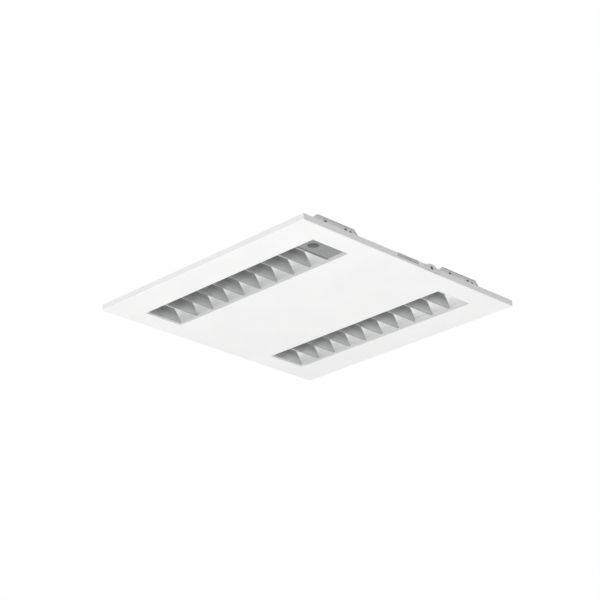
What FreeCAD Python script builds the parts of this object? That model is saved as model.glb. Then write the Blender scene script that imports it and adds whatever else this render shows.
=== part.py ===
import FreeCAD, Part
import math
import os
import Sketcher

# Recessed troffer light for a 600 mm ceiling grid: a folded steel tray with two rows of
# louvred cells, a raised housing over each row, and the driver and wiring box between them.
# Frame: origin in the middle of the visible face, Z up into the ceiling, louvre rows along Y.

doc = FreeCAD.newDocument("Troffer")

# ---------------------------------------------------------------------------- sizes

SIZES = {
    # face tray
    "panel_side": (595, "side of the square face, for a 600 mm grid"),
    "tray_gauge": (0.8, "steel of the face tray"),
    "return_height": (13, "upturned edge of the tray"),
    "hem_height": (4, "edge of the return folded down on itself"),
    "tray_bend": (1.2, "outer radius of the tray's bends"),
    "row_offset": (176.5, "middle of the tray to the middle of a louvre row"),
    "opening_width": (94, "opening of a louvre row, across"),
    "opening_length": (492, "opening of a louvre row, along"),
    "lip_top": (5, "height of the lip folded up round an opening"),
    # housing over a row
    "housing_gauge": (0.8, "steel of the raised housings"),
    "housing_base": (120, "outer width of a housing at its foot"),
    "housing_crown": (99, "outer width of a housing's flat top"),
    "housing_shoulder": (38, "height where the sloping shoulder starts"),
    "housing_top": (47.6, "height of the flat top above the face"),
    "housing_overhang": (15, "housing past each end of the opening"),
    "housing_flange": (12, "flange welded to the tray"),
    "cap_gap": (0.2, "end cap to the housing round it"),
    "cap_recess": (1.5, "end cap set in from the housing's end"),
    "cap_foot": (9, "foot of an end cap on the tray"),
    "cap_screw_spread": (27, "end cap screw to the row's middle"),
    "cap_screw_height": (39.5, "height of the end cap screws"),
    "cap_knockout_offset": (41, "cable knock-out to the row's middle"),
    "cap_knockout_radius": (2.6, "small knock-out in an end cap"),
    # louvre
    "reflector_top": (30, "upper edge of the reflectors"),
    "reflector_inset": (0.4, "lower edge of a reflector inside the opening"),
    "reflector_throat": (50, "width between the reflectors at the top"),
    "reflector_skin": (1, "reflector sheet, measured level"),
    "reflector_flange": (5, "flange resting on the lip of the opening"),
    "reflector_radius": (70, "curve of a side reflector"),
    "cell_pitch": (48, "cross blade to cross blade"),
    "blade_count": (9, "cross blades in a row"),
    "blade_foot": (3, "blade thickness at the bottom"),
    "blade_head": (10, "blade thickness at the top"),
    "blade_radius": (90, "curve of a blade's faces"),
    "louvre_gap": (0.3, "blade to reflector"),
    "end_lean": (4, "lean of an end reflector over its height"),
    "clip_gauge": (0.8, "steel of the reflector clips"),
    "clip_width": (10, "width of a reflector clip"),
    "clip_reach": (2.2, "clip tongue over the reflector flange"),
    "clip_station": (150, "reflector clips from the middle"),
    # light source
    "lens_width": (54, "frosted strip"),
    "lens_gauge": (2, "thickness of the frosted strip"),
    "lens_end_gap": (2.7, "frosted strip to the bracket at each end"),
    "shelf_width": (66, "bracket under each end of the frosted strip"),
    "shelf_gauge": (1, "steel of that bracket"),
    "shelf_reach": (12, "ledge of that bracket"),
    "shelf_leg": (15, "upright leg of that bracket"),
    "board_width": (24, "LED board"),
    "board_inset": (6, "LED board short of each end of the opening"),
    "board_gauge": (1.6, "LED board"),
    "chip_side": (3, "LED package"),
    "chip_height": (0.8, "LED package"),
    "chip_pitch": (20, "LED to LED"),
    "chip_count": (24, "LEDs on a board"),
    "board_screw_offset": (7, "board screws beside the LEDs"),
    "board_screw_near": (70, "inner board screws from the middle"),
    "board_screw_far": (210, "outer board screws from the middle"),
    "connector_width": (8, "board connector"),
    "connector_length": (12, "board connector"),
    "connector_height": (5, "board connector"),
    "connector_offset": (7.5, "board connector to the row's middle"),
    "connector_distance": (50, "board connector behind the turn of the lamp leads"),
    # small screws
    "screw_radius": (1.75, "screw shanks"),
    "screw_head": (3, "screw head radius"),
    "screw_head_height": (2, "screw heads"),
    "thread_gap": (0.05, "screw shank in its hole"),
    # gear plate between the rows
    "plate_gauge": (1, "steel of the gear plate"),
    "plate_rise": (4, "gear plate above the tray"),
    "plate_side_gap": (0.5, "feet of the gear plate to the flanges of the housings"),
    "plate_foot": (5, "side feet of the gear plate"),
    "plate_inset": (17.5, "front edge of the gear plate behind the panel edge"),
    "plate_overhang": (70, "gear plate behind the driver case"),
    # driver
    "driver_setback": (60, "driver case behind the wiring box"),
    "driver_length": (230, "driver case"),
    "driver_width": (52, "driver case"),
    "driver_height": (24, "driver case"),
    "driver_gauge": (0.8, "driver case sheet"),
    "driver_gap": (0.2, "end walls inside the driver cover"),
    "ear_length": (16, "ears of the driver case"),
    "ear_screw_offset": (20, "ear screws from the driver's middle"),
    "driver_board_width": (46, "circuit board"),
    "driver_board_inset": (9, "circuit board short of each end of the case"),
    "driver_board_height": (4, "circuit board above the case floor"),
    "transformer_side": (24, "transformer on the circuit board"),
    "transformer_along": (20, "transformer behind the driver's middle"),
    "choke_side": (18, "choke on the circuit board"),
    "choke_along": (53, "choke in front of the driver's middle"),
    "capacitor_radius": (5, "capacitors on the circuit board"),
    "capacitor_spread": (9, "capacitors to the driver's middle, across"),
    "capacitor_along": (22, "capacitors in front of the driver's middle"),
    "driver_terminal_width": (22, "terminals of the driver"),
    "driver_terminal_depth": (12, "terminals of the driver"),
    "driver_terminal_height": (13, "terminals of the driver"),
    "button_side": (4, "release button"),
    "button_height": (4.5, "release button"),
    "button_proud": (2, "button above its terminal"),
    "button_gap": (0.3, "button in its pocket"),
    "button_offset": (5.5, "button to the terminal's middle"),
    "button_travel": (1.2, "travel of a release button"),
    # wiring box
    "wiring_middle": (12, "middle of the wiring box, across"),
    "wiring_width": (62, "wiring box"),
    "wiring_inset": (25.5, "front of the wiring box behind the panel edge"),
    "wiring_depth": (72, "wiring box, front to back"),
    "wiring_height": (22.2, "wiring box without its lid"),
    "wiring_wall": (1.6, "walls of the wiring box"),
    "lid_gap": (0.3, "lid above the box"),
    "lid_gauge": (1.7, "lid"),
    "lid_lip": (7, "front lip of the lid"),
    "lid_lip_gauge": (1.2, "front lip of the lid"),
    "hinge_setback": (3.2, "hinge axis behind the box"),
    "hinge_radius": (2.6, "knuckles of the hinge"),
    "hinge_pin_radius": (1.25, "hinge pin"),
    "hinge_fit": (0.05, "pin in the knuckles"),
    "knuckle_span": (12, "length of a box knuckle"),
    "knuckle_gap": (0.4, "knuckle to knuckle"),
    # terminal block with levers
    "pole_pitch": (10, "lever to lever"),
    "pole_web": (2.6, "wall between two levers"),
    "block_depth": (15, "terminal block, front to back"),
    "block_height": (11.2, "terminal block"),
    "block_inset": (32.5, "front of the terminal block behind the front of the box"),
    "lever_axis_back": (3.5, "lever axis to the back of the block"),
    "lever_axis_down": (2, "lever axis below the top of the block"),
    "lever_gauge": (1.8, "thickness of a lever"),
    "lever_reach": (8, "lever, axis to tip"),
    "lever_knuckle": (2.2, "knuckle of a lever"),
    "lever_gap": (0.3, "lever in its slot"),
    "trunnion_radius": (1, "trunnions of a lever"),
    "trunnion_reach": (0.8, "trunnion into the block"),
    # cable entry and clamp
    "cable_radius": (4.5, "bore for the supply cable"),
    "cable_back": (14, "cable axis behind the front of the wiring box"),
    "cable_height": (16.5, "cable axis above the face"),
    "grommet_wall": (1.6, "grommet round its bore"),
    "grommet_flange": (1.5, "flange of a grommet beyond its hole"),
    "grommet_face": (1.2, "thickness of a grommet's flanges"),
    "clamp_across": (53, "cable clamp from the middle, across"),
    "clamp_width": (46, "cable clamp"),
    "clamp_gap": (0.3, "cable clamp in its notch and before the gear plate"),
    "clamp_axis": (10.4, "bore of the clamp above the face"),
    "clamp_split": (0.3, "clamp saddle above the clamp base"),
    "clamp_shoulder": (13.6, "shoulders of the clamp saddle above the face"),
    "clamp_crown_width": (32, "crown of the clamp saddle"),
    "clamp_crown_radius": (29, "curve of the crown"),
    "clamp_wing": (4, "wings of the clamp base behind the return"),
    "clamp_wing_gauge": (2, "wings of the clamp base"),
    "clamp_screw_offset": (19.5, "clamp screws beside the cable axis"),
    "notch_foot": (1.6, "foot of the notch for the clamp above the face"),
    "window_across": (-15, "cut-out before the wiring box, from the middle, across"),
    "window_foot": (6, "foot of the cut-out above the face"),
    # earth stud
    "earth_distance": (19, "earth stud beside the wiring box"),
    "earth_inset": (15, "earth stud in front of the back of the box"),
    "earth_radius": (2, "earth stud"),
    "earth_height": (14, "earth stud above the gear plate"),
    "nut_radius": (4, "earth nut across its corners, half"),
    "nut_height": (3.2, "earth nut"),
    # leads
    "mains_radius": (2.5, "lead from the wiring box to the driver"),
    "lead_seat": (2.5, "leads pushed into their terminals"),
    "lead_hole_gap": (0.4, "lead in the hole of the wiring box"),
    "lamp_radius": (1.6, "leads from the driver to the LED boards"),
    "lead_height": (10.9, "leads above the face, on the gear plate"),
    "lamp_turn_distance": (50, "lamp leads turn to the housings, behind the driver"),
    "lamp_entry_height": (32.5, "lamp lead through the housing wall"),
    "lamp_start": (5, "lamp leads from the middle at the driver"),
    "saddle_width": (8, "lead clip"),
    "saddle_across": (50, "lead clips from the middle"),
    # grid clips
    "grid_inset": (97.5, "grid clips from the nearer panel edge, along"),
    "grid_axis_inset": (7.5, "grid clip axis inside the panel edge"),
    "grid_axis_height": (5, "grid clip axis above the face"),
    "grid_width": (24, "grid clip"),
    "grid_gauge": (1.6, "steel of a grid clip"),
    "grid_reach": (29, "grid clip, axis to hook"),
    "grid_hook": (8, "hook of a grid clip"),
    "grid_knuckle": (2.4, "knuckle of a grid clip"),
    "grid_pin_radius": (1.2, "pin of a grid clip"),
    "grid_ear_gap": (0.4, "grid clip to its bracket's ears"),
    "grid_ear_gauge": (1, "bracket of a grid clip"),
    "grid_ear_top": (8.5, "top of the bracket's ears above the face"),
    # suspension brackets
    "hanger_inset_across": (22.5, "suspension hole from the panel edge, across"),
    "hanger_inset_along": (47.5, "suspension hole from the panel edge, along"),
    "hanger_width": (16, "suspension bracket"),
    "hanger_gauge": (1.2, "steel of a suspension bracket"),
    "hanger_rise": (14, "top of a suspension bracket above the face"),
    "hanger_hole": (2.75, "suspension hole radius"),
    "hanger_tongue": (16, "tongue of a suspension bracket"),
    "hanger_foot": (10, "foot of a suspension bracket"),
    # sensor in the front cell of the left row
    "sensor_gauge": (1.6, "sensor plate"),
    "sensor_set": (1, "sensor plate above the lips"),
    "sensor_gap": (0.6, "sensor plate to the cell round it"),
    "sensor_shift": (20, "sensor to the middle of its plate, across"),
    "sensor_radius": (13, "sensor housing"),
    "sensor_height": (9, "sensor housing above its plate"),
    "sensor_window": (11, "sensor lens radius"),
    "sensor_dome": (3, "sensor lens, below its plate"),
}

sheet = doc.addObject("Spreadsheet::Sheet", "Sizes")
for row, (name, (number, note)) in enumerate(SIZES.items(), start=1):
    sheet.set(f"A{row}", name)
    sheet.set(f"B{row}", str(number))
    sheet.set(f"C{row}", note)
    sheet.setAlias(f"B{row}", name)
doc.recompute()


class Size:
    """A number together with the sheet expression that gives it."""

    def __init__(self, number, text):
        self.number = number
        self.text = text

    def __add__(self, other):
        other = sized(other)
        return Size(self.number + other.number, f"({self.text} + {other.text})")

    def __sub__(self, other):
        other = sized(other)
        return Size(self.number - other.number, f"({self.text} - {other.text})")

    def __mul__(self, other):
        other = sized(other)
        return Size(self.number * other.number, f"({self.text} * {other.text})")

    def __truediv__(self, other):
        other = sized(other)
        return Size(self.number / other.number, f"({self.text} / {other.text})")

    def __radd__(self, other):
        return sized(other) + self

    def __rsub__(self, other):
        return sized(other) - self

    def __rmul__(self, other):
        return sized(other) * self

    def __neg__(self):
        return self * -1

    def root(self):
        return Size(math.sqrt(self.number), f"sqrt({self.text})")


def sized(amount):
    return amount if isinstance(amount, Size) else Size(float(amount), f"({float(amount)})")


class Sheet:
    """The sheet's named sizes, as Size values."""

    def __getattr__(self, name):
        return Size(float(getattr(sheet, name)), "Sizes." + name)


size = Sheet()
ROWS = {"left": -1, "right": 1}
ENDS = {"front": -1, "back": 1}

# ---------------------------------------------------------------------------- drawing helpers


def new_body(label, across=0, along=0):
    body = doc.addObject("PartDesign::Body", label)
    body.Label = label
    body.AllowCompound = True
    body.setExpression("Placement.Base.x", sized(across).text)
    body.setExpression("Placement.Base.y", sized(along).text)
    return body


def new_sketch(body, plane_role, height=0):
    drawing = body.newObject("Sketcher::SketchObject", body.Label + "_outline")
    plane = next(f for f in body.Origin.OriginFeatures if f.Role == plane_role)
    drawing.AttachmentSupport = [(plane, "")]
    drawing.MapMode = "FlatFace"
    drawing.setExpression("AttachmentOffset.Base.z", sized(height).text)
    return drawing


def hold(drawing, dimensions, joints=()):
    """Adds dimensions to a drawing in one step and ties each of them to the sheet."""
    first = drawing.ConstraintCount
    constraints = [Sketcher.Constraint(kind, *where, amount.number) for kind, where, amount in dimensions]
    drawing.addConstraint(constraints + [Sketcher.Constraint("Coincident", *joint) for joint in joints])
    for index, (kind, where, amount) in enumerate(dimensions, start=first):
        drawing.setExpression(f"Constraints[{index}]", amount.text)


def arc_middle(start, end, radius, hand):
    """Middle point of the arc that bulges to the right (1) or left (-1) of start to end."""
    chord = end - start
    sagitta = radius - math.sqrt(radius * radius - chord.Length ** 2 / 4)
    sideways = FreeCAD.Vector(chord.y, -chord.x, 0).normalize()
    return (start + end) / 2 + sideways * sagitta * hand


def draw_loop(drawing, corners, arcs=None):
    """Closed outline through corners; arcs gives radius and hand of a side, by its first corner."""
    arcs = arcs or {}
    corners = [(sized(x), sized(y)) for x, y in corners]
    points = [FreeCAD.Vector(x.number, y.number, 0) for x, y in corners]
    shapes = []
    sides = []
    dimensions = []
    for index, start in enumerate(points):
        end = points[(index + 1) % len(points)]
        side = drawing.GeometryCount + index
        first, last = 1, 2
        if index in arcs:
            radius, hand = arcs[index]
            shapes.append(Part.Arc(start, arc_middle(start, end, radius.number, hand), end))
            dimensions.append(("Radius", (side,), radius))
            if hand < 0:
                first, last = 2, 1
        else:
            shapes.append(Part.LineSegment(start, end))
        sides.append((side, first, last))
        dimensions.append(("DistanceX", (-1, 1, side, first), corners[index][0]))
        dimensions.append(("DistanceY", (-1, 1, side, first), corners[index][1]))
    following = sides[1:] + sides[:1]
    joints = [(side, last, after, start) for (side, first, last), (after, start, end) in zip(sides, following)]
    drawing.addGeometry(shapes, False)
    hold(drawing, dimensions, joints)


def draw_box(drawing, x_range, y_range):
    (x0, x1), (y0, y1) = x_range, y_range
    draw_loop(drawing, [(x0, y0), (x1, y0), (x1, y1), (x0, y1)])


def draw_circle(drawing, x, y, radius):
    x, y, radius = sized(x), sized(y), sized(radius)
    centre = FreeCAD.Vector(x.number, y.number, 0)
    ring = drawing.addGeometry(Part.Circle(centre, FreeCAD.Vector(0, 0, 1), radius.number), False)
    hold(drawing, [("DistanceX", (-1, 1, ring, 3), x), ("DistanceY", (-1, 1, ring, 3), y),
                   ("Radius", (ring,), radius)])


def about(middle, width):
    return (middle - width / 2, middle + width / 2)


def add_feature(body, kind, drawing, length, both_ways=False):
    feature = body.newObject(kind, body.Label + "_" + kind.split("::")[1].lower())
    feature.Profile = drawing
    feature.Midplane = both_ways
    feature.Refine = True
    feature.setExpression("Length", sized(length).text)
    body.Tip = feature
    return feature


def pad(body, drawing, length, both_ways=False):
    return add_feature(body, "PartDesign::Pad", drawing, length, both_ways)


def pocket(body, drawing, length, both_ways=True):
    return add_feature(body, "PartDesign::Pocket", drawing, length, both_ways)


def pad_level(body, z_range, *draws):
    """Pads the outlines that draws put in one level drawing, from the first height to the second."""
    drawing = new_sketch(body, "XY_Plane", z_range[0])
    for draw in draws:
        draw(drawing)
    return pad(body, drawing, z_range[1] - sized(z_range[0]))


def rectangle(x_range, y_range):
    return lambda drawing: draw_box(drawing, x_range, y_range)


def disc(x, y, radius):
    return lambda drawing: draw_circle(drawing, x, y, radius)


def pierce_level(body, height, depth, *draws):
    """Cuts the outlines through the body, half the depth up and half down from a height."""
    drawing = new_sketch(body, "XY_Plane", height)
    for draw in draws:
        draw(drawing)
    return pocket(body, drawing, depth)


def repeat_along(body, length, count):
    """Repeats the body's last feature along the row."""
    feature = body.Tip
    pattern = body.newObject("PartDesign::LinearPattern", body.Label + "_pattern")
    pattern.Originals = [feature]
    axis = next(f for f in body.Origin.OriginFeatures if f.Role == "Y_Axis")
    pattern.Direction = (axis, [""])
    pattern.setExpression("Length", sized(length).text)
    pattern.setExpression("Occurrences", sized(count).text)
    body.Tip = pattern


def block_body(label, x_range, y_range, z_range):
    body = new_body(label)
    pad_level(body, z_range, rectangle(x_range, y_range))
    return body


def round_edges(body, radius, test):
    """Fillets the straight edges whose two ends pass the test together."""
    feature = body.Tip
    body.recompute(True)
    names = []
    for number, edge in enumerate(feature.Shape.Edges, start=1):
        ends = [vertex.Point for vertex in edge.Vertexes]
        if len(ends) == 2 and test(*ends):
            names.append(f"Edge{number}")
    rounding = body.newObject("PartDesign::Fillet", body.Label + "_rounding")
    rounding.Base = (feature, names)
    rounding.setExpression("Radius", sized(radius).text)
    body.Tip = rounding


# ---------------------------------------------------------------------------- face tray
# One folded sheet: flat face, upturned and hemmed return with a notch for the cable clamp and
# a cut-out before the wiring box, two openings with lips.

panel_half = size.panel_side / 2
return_inner = size.panel_side - size.tray_gauge * 2
hem_inner = return_inner - size.tray_gauge * 2
opening_half = size.opening_width / 2
opening_end = size.opening_length / 2
lip_width = size.opening_width + size.tray_gauge * 2
lip_length = size.opening_length + size.tray_gauge * 2
housing_length = size.opening_length + size.housing_overhang * 2
wiring_front = size.wiring_inset - panel_half
wiring_back = wiring_front + size.wiring_depth
driver_front = wiring_back + size.driver_setback
driver_back = driver_front + size.driver_length
lamp_turn = driver_back + size.lamp_turn_distance


def square(side):
    return rectangle(about(sized(0), side), about(sized(0), side))


def make_face_tray():
    tray = new_body("face_tray")
    pad_level(tray, (0, size.tray_gauge), square(size.panel_side))
    openings = []
    lips = []
    for side in ROWS.values():
        middle = side * size.row_offset
        openings.append(rectangle(about(middle, size.opening_width), about(sized(0), size.opening_length)))
        lips.append(rectangle(about(middle, lip_width), about(sized(0), lip_length)))
    pierce_level(tray, 0, size.tray_gauge * 4, *openings)
    pad_level(tray, (0, size.return_height), square(size.panel_side), square(return_inner))
    hem_foot = size.return_height - size.hem_height
    pad_level(tray, (hem_foot, size.return_height), square(return_inner), square(hem_inner))
    pad_level(tray, (0, size.lip_top), *lips, *openings)
    fold = (-panel_half - size.tray_gauge, size.tray_gauge - hem_inner / 2)
    notch = about(size.clamp_across, size.clamp_width + size.clamp_gap * 2)
    pierce_level(tray, size.return_height, (size.return_height - size.notch_foot) * 2,
                 rectangle(notch, fold))
    window = about(size.window_across, size.wiring_width)
    pierce_level(tray, size.return_height, (size.return_height - size.window_foot) * 2,
                 rectangle(window, fold))
    corner = panel_half.number - size.tray_gauge.number / 2

    def is_outer_bend(start, end):
        outside = all(abs(point.x) > corner and abs(point.y) > corner for point in (start, end))
        return outside and min(start.z, end.z) < size.tray_gauge.number / 2

    round_edges(tray, size.tray_bend, is_outer_bend)
    return tray


# ---------------------------------------------------------------------------- housings

housing_half = size.housing_base / 2
crown_half = size.housing_crown / 2
shoulder_run = housing_half - crown_half
shoulder_rise = size.housing_top - size.housing_shoulder
shoulder_slope = (shoulder_run * shoulder_run + shoulder_rise * shoulder_rise).root()
shoulder_drop_rate = (shoulder_slope - shoulder_rise) / shoulder_run
crown_inset_rate = (shoulder_slope - shoulder_run) / shoulder_rise
flange_top = size.tray_gauge + size.housing_gauge
board_seat = size.housing_top - size.housing_gauge
board_face = board_seat - size.board_gauge
screw_hole = size.screw_radius + size.thread_gap
connector_along = lamp_turn + size.connector_distance
grommet_radius = size.lamp_radius + size.grommet_wall + size.thread_gap
board_screw_places = [way * span for way in (-1, 1)
                      for span in (size.board_screw_near, size.board_screw_far)]


def housing_half_outline(inset):
    """Right half of the housing's section, this far inside its outer face, from foot to crown."""
    return [
        (housing_half - inset, size.housing_shoulder - inset * shoulder_drop_rate),
        (crown_half - inset * crown_inset_rate, size.housing_top - inset),
    ]


def mirrored(points):
    return [(-x, z) for x, z in reversed(points)]


def make_housing(row, side):
    housing = new_body("housing_" + row, across=side * size.row_offset)
    foot = [
        (housing_half - size.housing_gauge, size.tray_gauge),
        (housing_half + size.housing_flange, size.tray_gauge),
        (housing_half + size.housing_flange, flange_top),
        (housing_half, flange_top),
    ]
    outer = housing_half_outline(sized(0))
    inner = housing_half_outline(size.housing_gauge)
    outline = foot + outer + mirrored(outer) + mirrored(foot) + mirrored(list(reversed(inner)))
    outline = outline + list(reversed(inner))
    drawing = new_sketch(housing, "XZ_Plane")
    draw_loop(drawing, outline)
    pad(housing, drawing, housing_length, both_ways=True)
    holes = [disc(size.board_screw_offset, along, screw_hole) for along in board_screw_places]
    pierce_level(housing, size.housing_top, size.housing_gauge * 4, *holes)
    wall = new_sketch(housing, "YZ_Plane", -side * (housing_half - size.housing_gauge / 2))
    draw_circle(wall, lamp_turn, size.lamp_entry_height, grommet_radius)
    pocket(housing, wall, size.housing_gauge * 4)
    return housing


def make_end_cap(row, side, end, way):
    """Plate closing one end of a housing, with a foot on the tray and holes for its screws."""
    cap = new_body("end_cap_" + row + "_" + end, across=side * size.row_offset)
    plate_inset = size.housing_gauge + size.cap_gap
    half = housing_half_outline(plate_inset)
    base = [(housing_half - plate_inset, size.tray_gauge)]
    outer_face = housing_length / 2 - size.cap_recess
    middle = outer_face - size.housing_gauge / 2
    drawing = new_sketch(cap, "XZ_Plane", -way * middle)
    draw_loop(drawing, base + half + mirrored(half) + mirrored(base))
    pad(cap, drawing, size.housing_gauge, both_ways=True)
    foot_inner = outer_face - size.housing_gauge - size.cap_foot
    foot_half = housing_half - plate_inset
    span = (way * foot_inner, way * outer_face) if way > 0 else (-outer_face, -foot_inner)
    pad_level(cap, (size.tray_gauge, size.tray_gauge + size.housing_gauge),
              rectangle((-foot_half, foot_half), span))
    holes = new_sketch(cap, "XZ_Plane", -way * middle)
    for spread in (-1, 1):
        draw_circle(holes, spread * size.cap_screw_spread, size.cap_screw_height, screw_hole)
    draw_circle(holes, size.cap_knockout_offset, size.cap_screw_height, size.cap_knockout_radius)
    pocket(cap, holes, size.housing_gauge * 4)
    return cap


cap_outer = housing_length / 2 - size.cap_recess
cap_inner = cap_outer - size.housing_gauge


def make_end_cap_screws():
    """Two pan head screws through each end cap into the bracket behind it."""
    screws = new_body("end_cap_screws")
    for way in ENDS.values():
        head = new_sketch(screws, "XZ_Plane", -way * (cap_outer + size.screw_head_height / 2))
        shank_length = size.housing_gauge + size.shelf_gauge + size.shelf_gauge
        shank = new_sketch(screws, "XZ_Plane", -way * (cap_outer - shank_length / 2))
        for side in ROWS.values():
            for spread in (-1, 1):
                place = side * size.row_offset + spread * size.cap_screw_spread
                draw_circle(head, place, size.cap_screw_height, size.screw_head)
                draw_circle(shank, place, size.cap_screw_height, size.screw_radius)
        pad(screws, head, size.screw_head_height, both_ways=True)
        pad(screws, shank, shank_length, both_ways=True)
    return screws


def make_lens_brackets():
    """Angle behind each end cap: the upright leg takes its screws, the ledge carries the strip."""
    brackets = new_body("lens_brackets")
    for side in ROWS.values():
        across = about(side * size.row_offset, size.shelf_width)
        for way in ENDS.values():
            leg_inner = cap_inner - size.shelf_gauge
            leg = sorted_range(way, leg_inner, cap_inner)
            ledge = sorted_range(way, leg_inner - size.shelf_reach, cap_inner)
            leg_top = size.reflector_top + size.shelf_leg
            ledge_foot = size.reflector_top - size.shelf_gauge
            pad_level(brackets, (ledge_foot, size.reflector_top), rectangle(across, ledge))
            pad_level(brackets, (size.reflector_top, leg_top), rectangle(across, leg))
    holes = new_sketch(brackets, "XZ_Plane")
    for side in ROWS.values():
        for spread in (-1, 1):
            place = side * size.row_offset + spread * size.cap_screw_spread
            draw_circle(holes, place, size.cap_screw_height, screw_hole)
    pocket(brackets, holes, housing_length)
    return brackets


def sorted_range(way, near, far):
    """Low and high value of a span that lies this way from the middle."""
    return (near, far) if way > 0 else (-far, -near)


# ---------------------------------------------------------------------------- louvre

trough_foot = opening_half - size.reflector_inset
trough_head = size.reflector_throat / 2
blade_reach = size.cell_pitch * (size.blade_count - 1) / 2


def make_side_reflector(row, side, flank, way):
    """Curved mirror sheet along a row, its flange resting on the lip of the opening."""
    label = "side_reflector_" + row + "_" + flank
    reflector = new_body(label, across=side * size.row_offset)
    flange_end = trough_foot + size.reflector_flange
    skin_top = size.lip_top + size.reflector_skin
    corners = [
        (trough_foot, size.lip_top),
        (flange_end, size.lip_top),
        (flange_end, skin_top),
        (trough_foot + size.reflector_skin, skin_top),
        (trough_head + size.reflector_skin, size.reflector_top),
        (trough_head, size.reflector_top),
    ]
    arcs = {3: (size.reflector_radius, 1), 5: (size.reflector_radius, -1)}
    drawing = new_sketch(reflector, "XZ_Plane")
    draw_handed(drawing, way, corners, arcs)
    pad(reflector, drawing, size.opening_length - size.reflector_inset * 2, both_ways=True)
    return reflector


def draw_handed(drawing, way, corners, arcs):
    """Draws a right-hand section, or its mirror image for the left hand."""
    if way < 0:
        last = len(corners) - 1
        corners = [(-x, z) for x, z in reversed(corners)]
        arcs = {(last - 1 - index) % (last + 1): arc for index, arc in arcs.items()}
    draw_loop(drawing, corners, arcs)


def trim_to_trough(body, gap):
    """Cuts away what reaches past the inner faces of the side reflectors, less a gap."""
    beyond = housing_half + size.housing_flange
    above = size.reflector_top + size.reflector_skin
    foot = trough_foot - gap
    head = trough_head - gap
    corners = [
        (foot, size.lip_top),
        (foot, 0),
        (beyond, 0),
        (beyond, above),
        (head, above),
        (head, size.reflector_top),
    ]
    drawing = new_sketch(body, "XZ_Plane")
    for way in (-1, 1):
        draw_handed(drawing, way, corners, {5: (size.reflector_radius, -1)})
    pocket(body, drawing, housing_length)


def make_end_reflectors(row, side):
    """Leaning mirror sheet at each end of a row."""
    reflectors = new_body("end_reflectors_" + row, across=side * size.row_offset)
    foot = opening_end - size.reflector_inset
    head = foot - size.end_lean
    flange_end = foot + size.reflector_flange
    skin_top = size.lip_top + size.reflector_skin
    corners = [
        (foot, size.lip_top),
        (flange_end, size.lip_top),
        (flange_end, skin_top),
        (foot + size.reflector_skin, skin_top),
        (head + size.reflector_skin, size.reflector_top),
        (head, size.reflector_top),
    ]
    arcs = {3: (size.blade_radius, 1), 5: (size.blade_radius, -1)}
    drawing = new_sketch(reflectors, "YZ_Plane")
    for way in ENDS.values():
        draw_handed(drawing, way, corners, arcs)
    pad(reflectors, drawing, size.opening_width, both_ways=True)
    trim_to_trough(reflectors, size.louvre_gap)
    return reflectors


def make_cross_blades(row, side):
    """Blades across a row, thicker at the top, their ends cut to the reflectors."""
    blades = new_body("cross_blades_" + row, across=side * size.row_offset)
    top = size.reflector_top - size.louvre_gap
    reach = blade_reach
    foot = size.blade_foot / 2
    head = size.blade_head / 2
    corners = [
        (-reach - foot, size.lip_top),
        (-reach + foot, size.lip_top),
        (-reach + head, top),
        (-reach - head, top),
    ]
    drawing = new_sketch(blades, "YZ_Plane")
    draw_loop(drawing, corners, {1: (size.blade_radius, -1), 3: (size.blade_radius, -1)})
    pad(blades, drawing, size.opening_width, both_ways=True)
    repeat_along(blades, reach * 2, size.blade_count)
    trim_to_trough(blades, size.louvre_gap)
    return blades


def make_reflector_clips():
    """Small folded clips welded to the tray that hold the reflector flanges on the lips."""
    clips = new_body("reflector_clips")
    flange_end = trough_foot + size.reflector_flange
    riser = flange_end + size.louvre_gap
    tongue_foot = size.lip_top + size.reflector_skin
    tongue_top = tongue_foot + size.clip_gauge
    tongue_end = riser + size.clip_gauge
    section = [
        (riser, size.tray_gauge),
        (riser + size.clip_gauge + size.clip_reach, size.tray_gauge),
        (riser + size.clip_gauge + size.clip_reach, size.tray_gauge + size.clip_gauge),
        (tongue_end, size.tray_gauge + size.clip_gauge),
        (tongue_end, tongue_top),
        (flange_end - size.clip_reach, tongue_top),
        (flange_end - size.clip_reach, tongue_foot),
        (riser, tongue_foot),
    ]
    for end in ENDS.values():
        drawing = new_sketch(clips, "XZ_Plane", end * size.clip_station)
        for side in ROWS.values():
            middle = side * size.row_offset
            draw_loop(drawing, [(middle + x, z) for x, z in section])
            draw_loop(drawing, [(middle - x, z) for x, z in reversed(section)])
        pad(clips, drawing, size.clip_width, both_ways=True)
    return clips


# ---------------------------------------------------------------------------- light source


def make_lens_strip(row, side):
    across = about(side * size.row_offset, size.lens_width)
    lens_end = cap_inner - size.shelf_gauge - size.lens_end_gap
    along = (-lens_end, lens_end)
    return block_body("lens_strip_" + row, across, along,
                      (size.reflector_top, size.reflector_top + size.lens_gauge))


def make_led_board(row, side):
    middle = side * size.row_offset
    board = block_body("led_board_" + row, about(middle, size.board_width),
                       about(sized(0), size.opening_length - size.board_inset * 2), (board_face, board_seat))
    holes = [disc(middle + size.board_screw_offset, along, screw_hole)
             for along in board_screw_places]
    pierce_level(board, board_face, size.board_gauge * 4, *holes)
    return board


def make_led_chips():
    """A row of LED packages under each board."""
    chips = new_body("led_chips")
    span = (size.chip_count - 1) * size.chip_pitch
    first = [rectangle(about(side * size.row_offset, size.chip_side), about(-span / 2, size.chip_side))
             for side in ROWS.values()]
    pad_level(chips, (board_face - size.chip_height, board_face), *first)
    repeat_along(chips, span, size.chip_count)
    return chips


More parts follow.
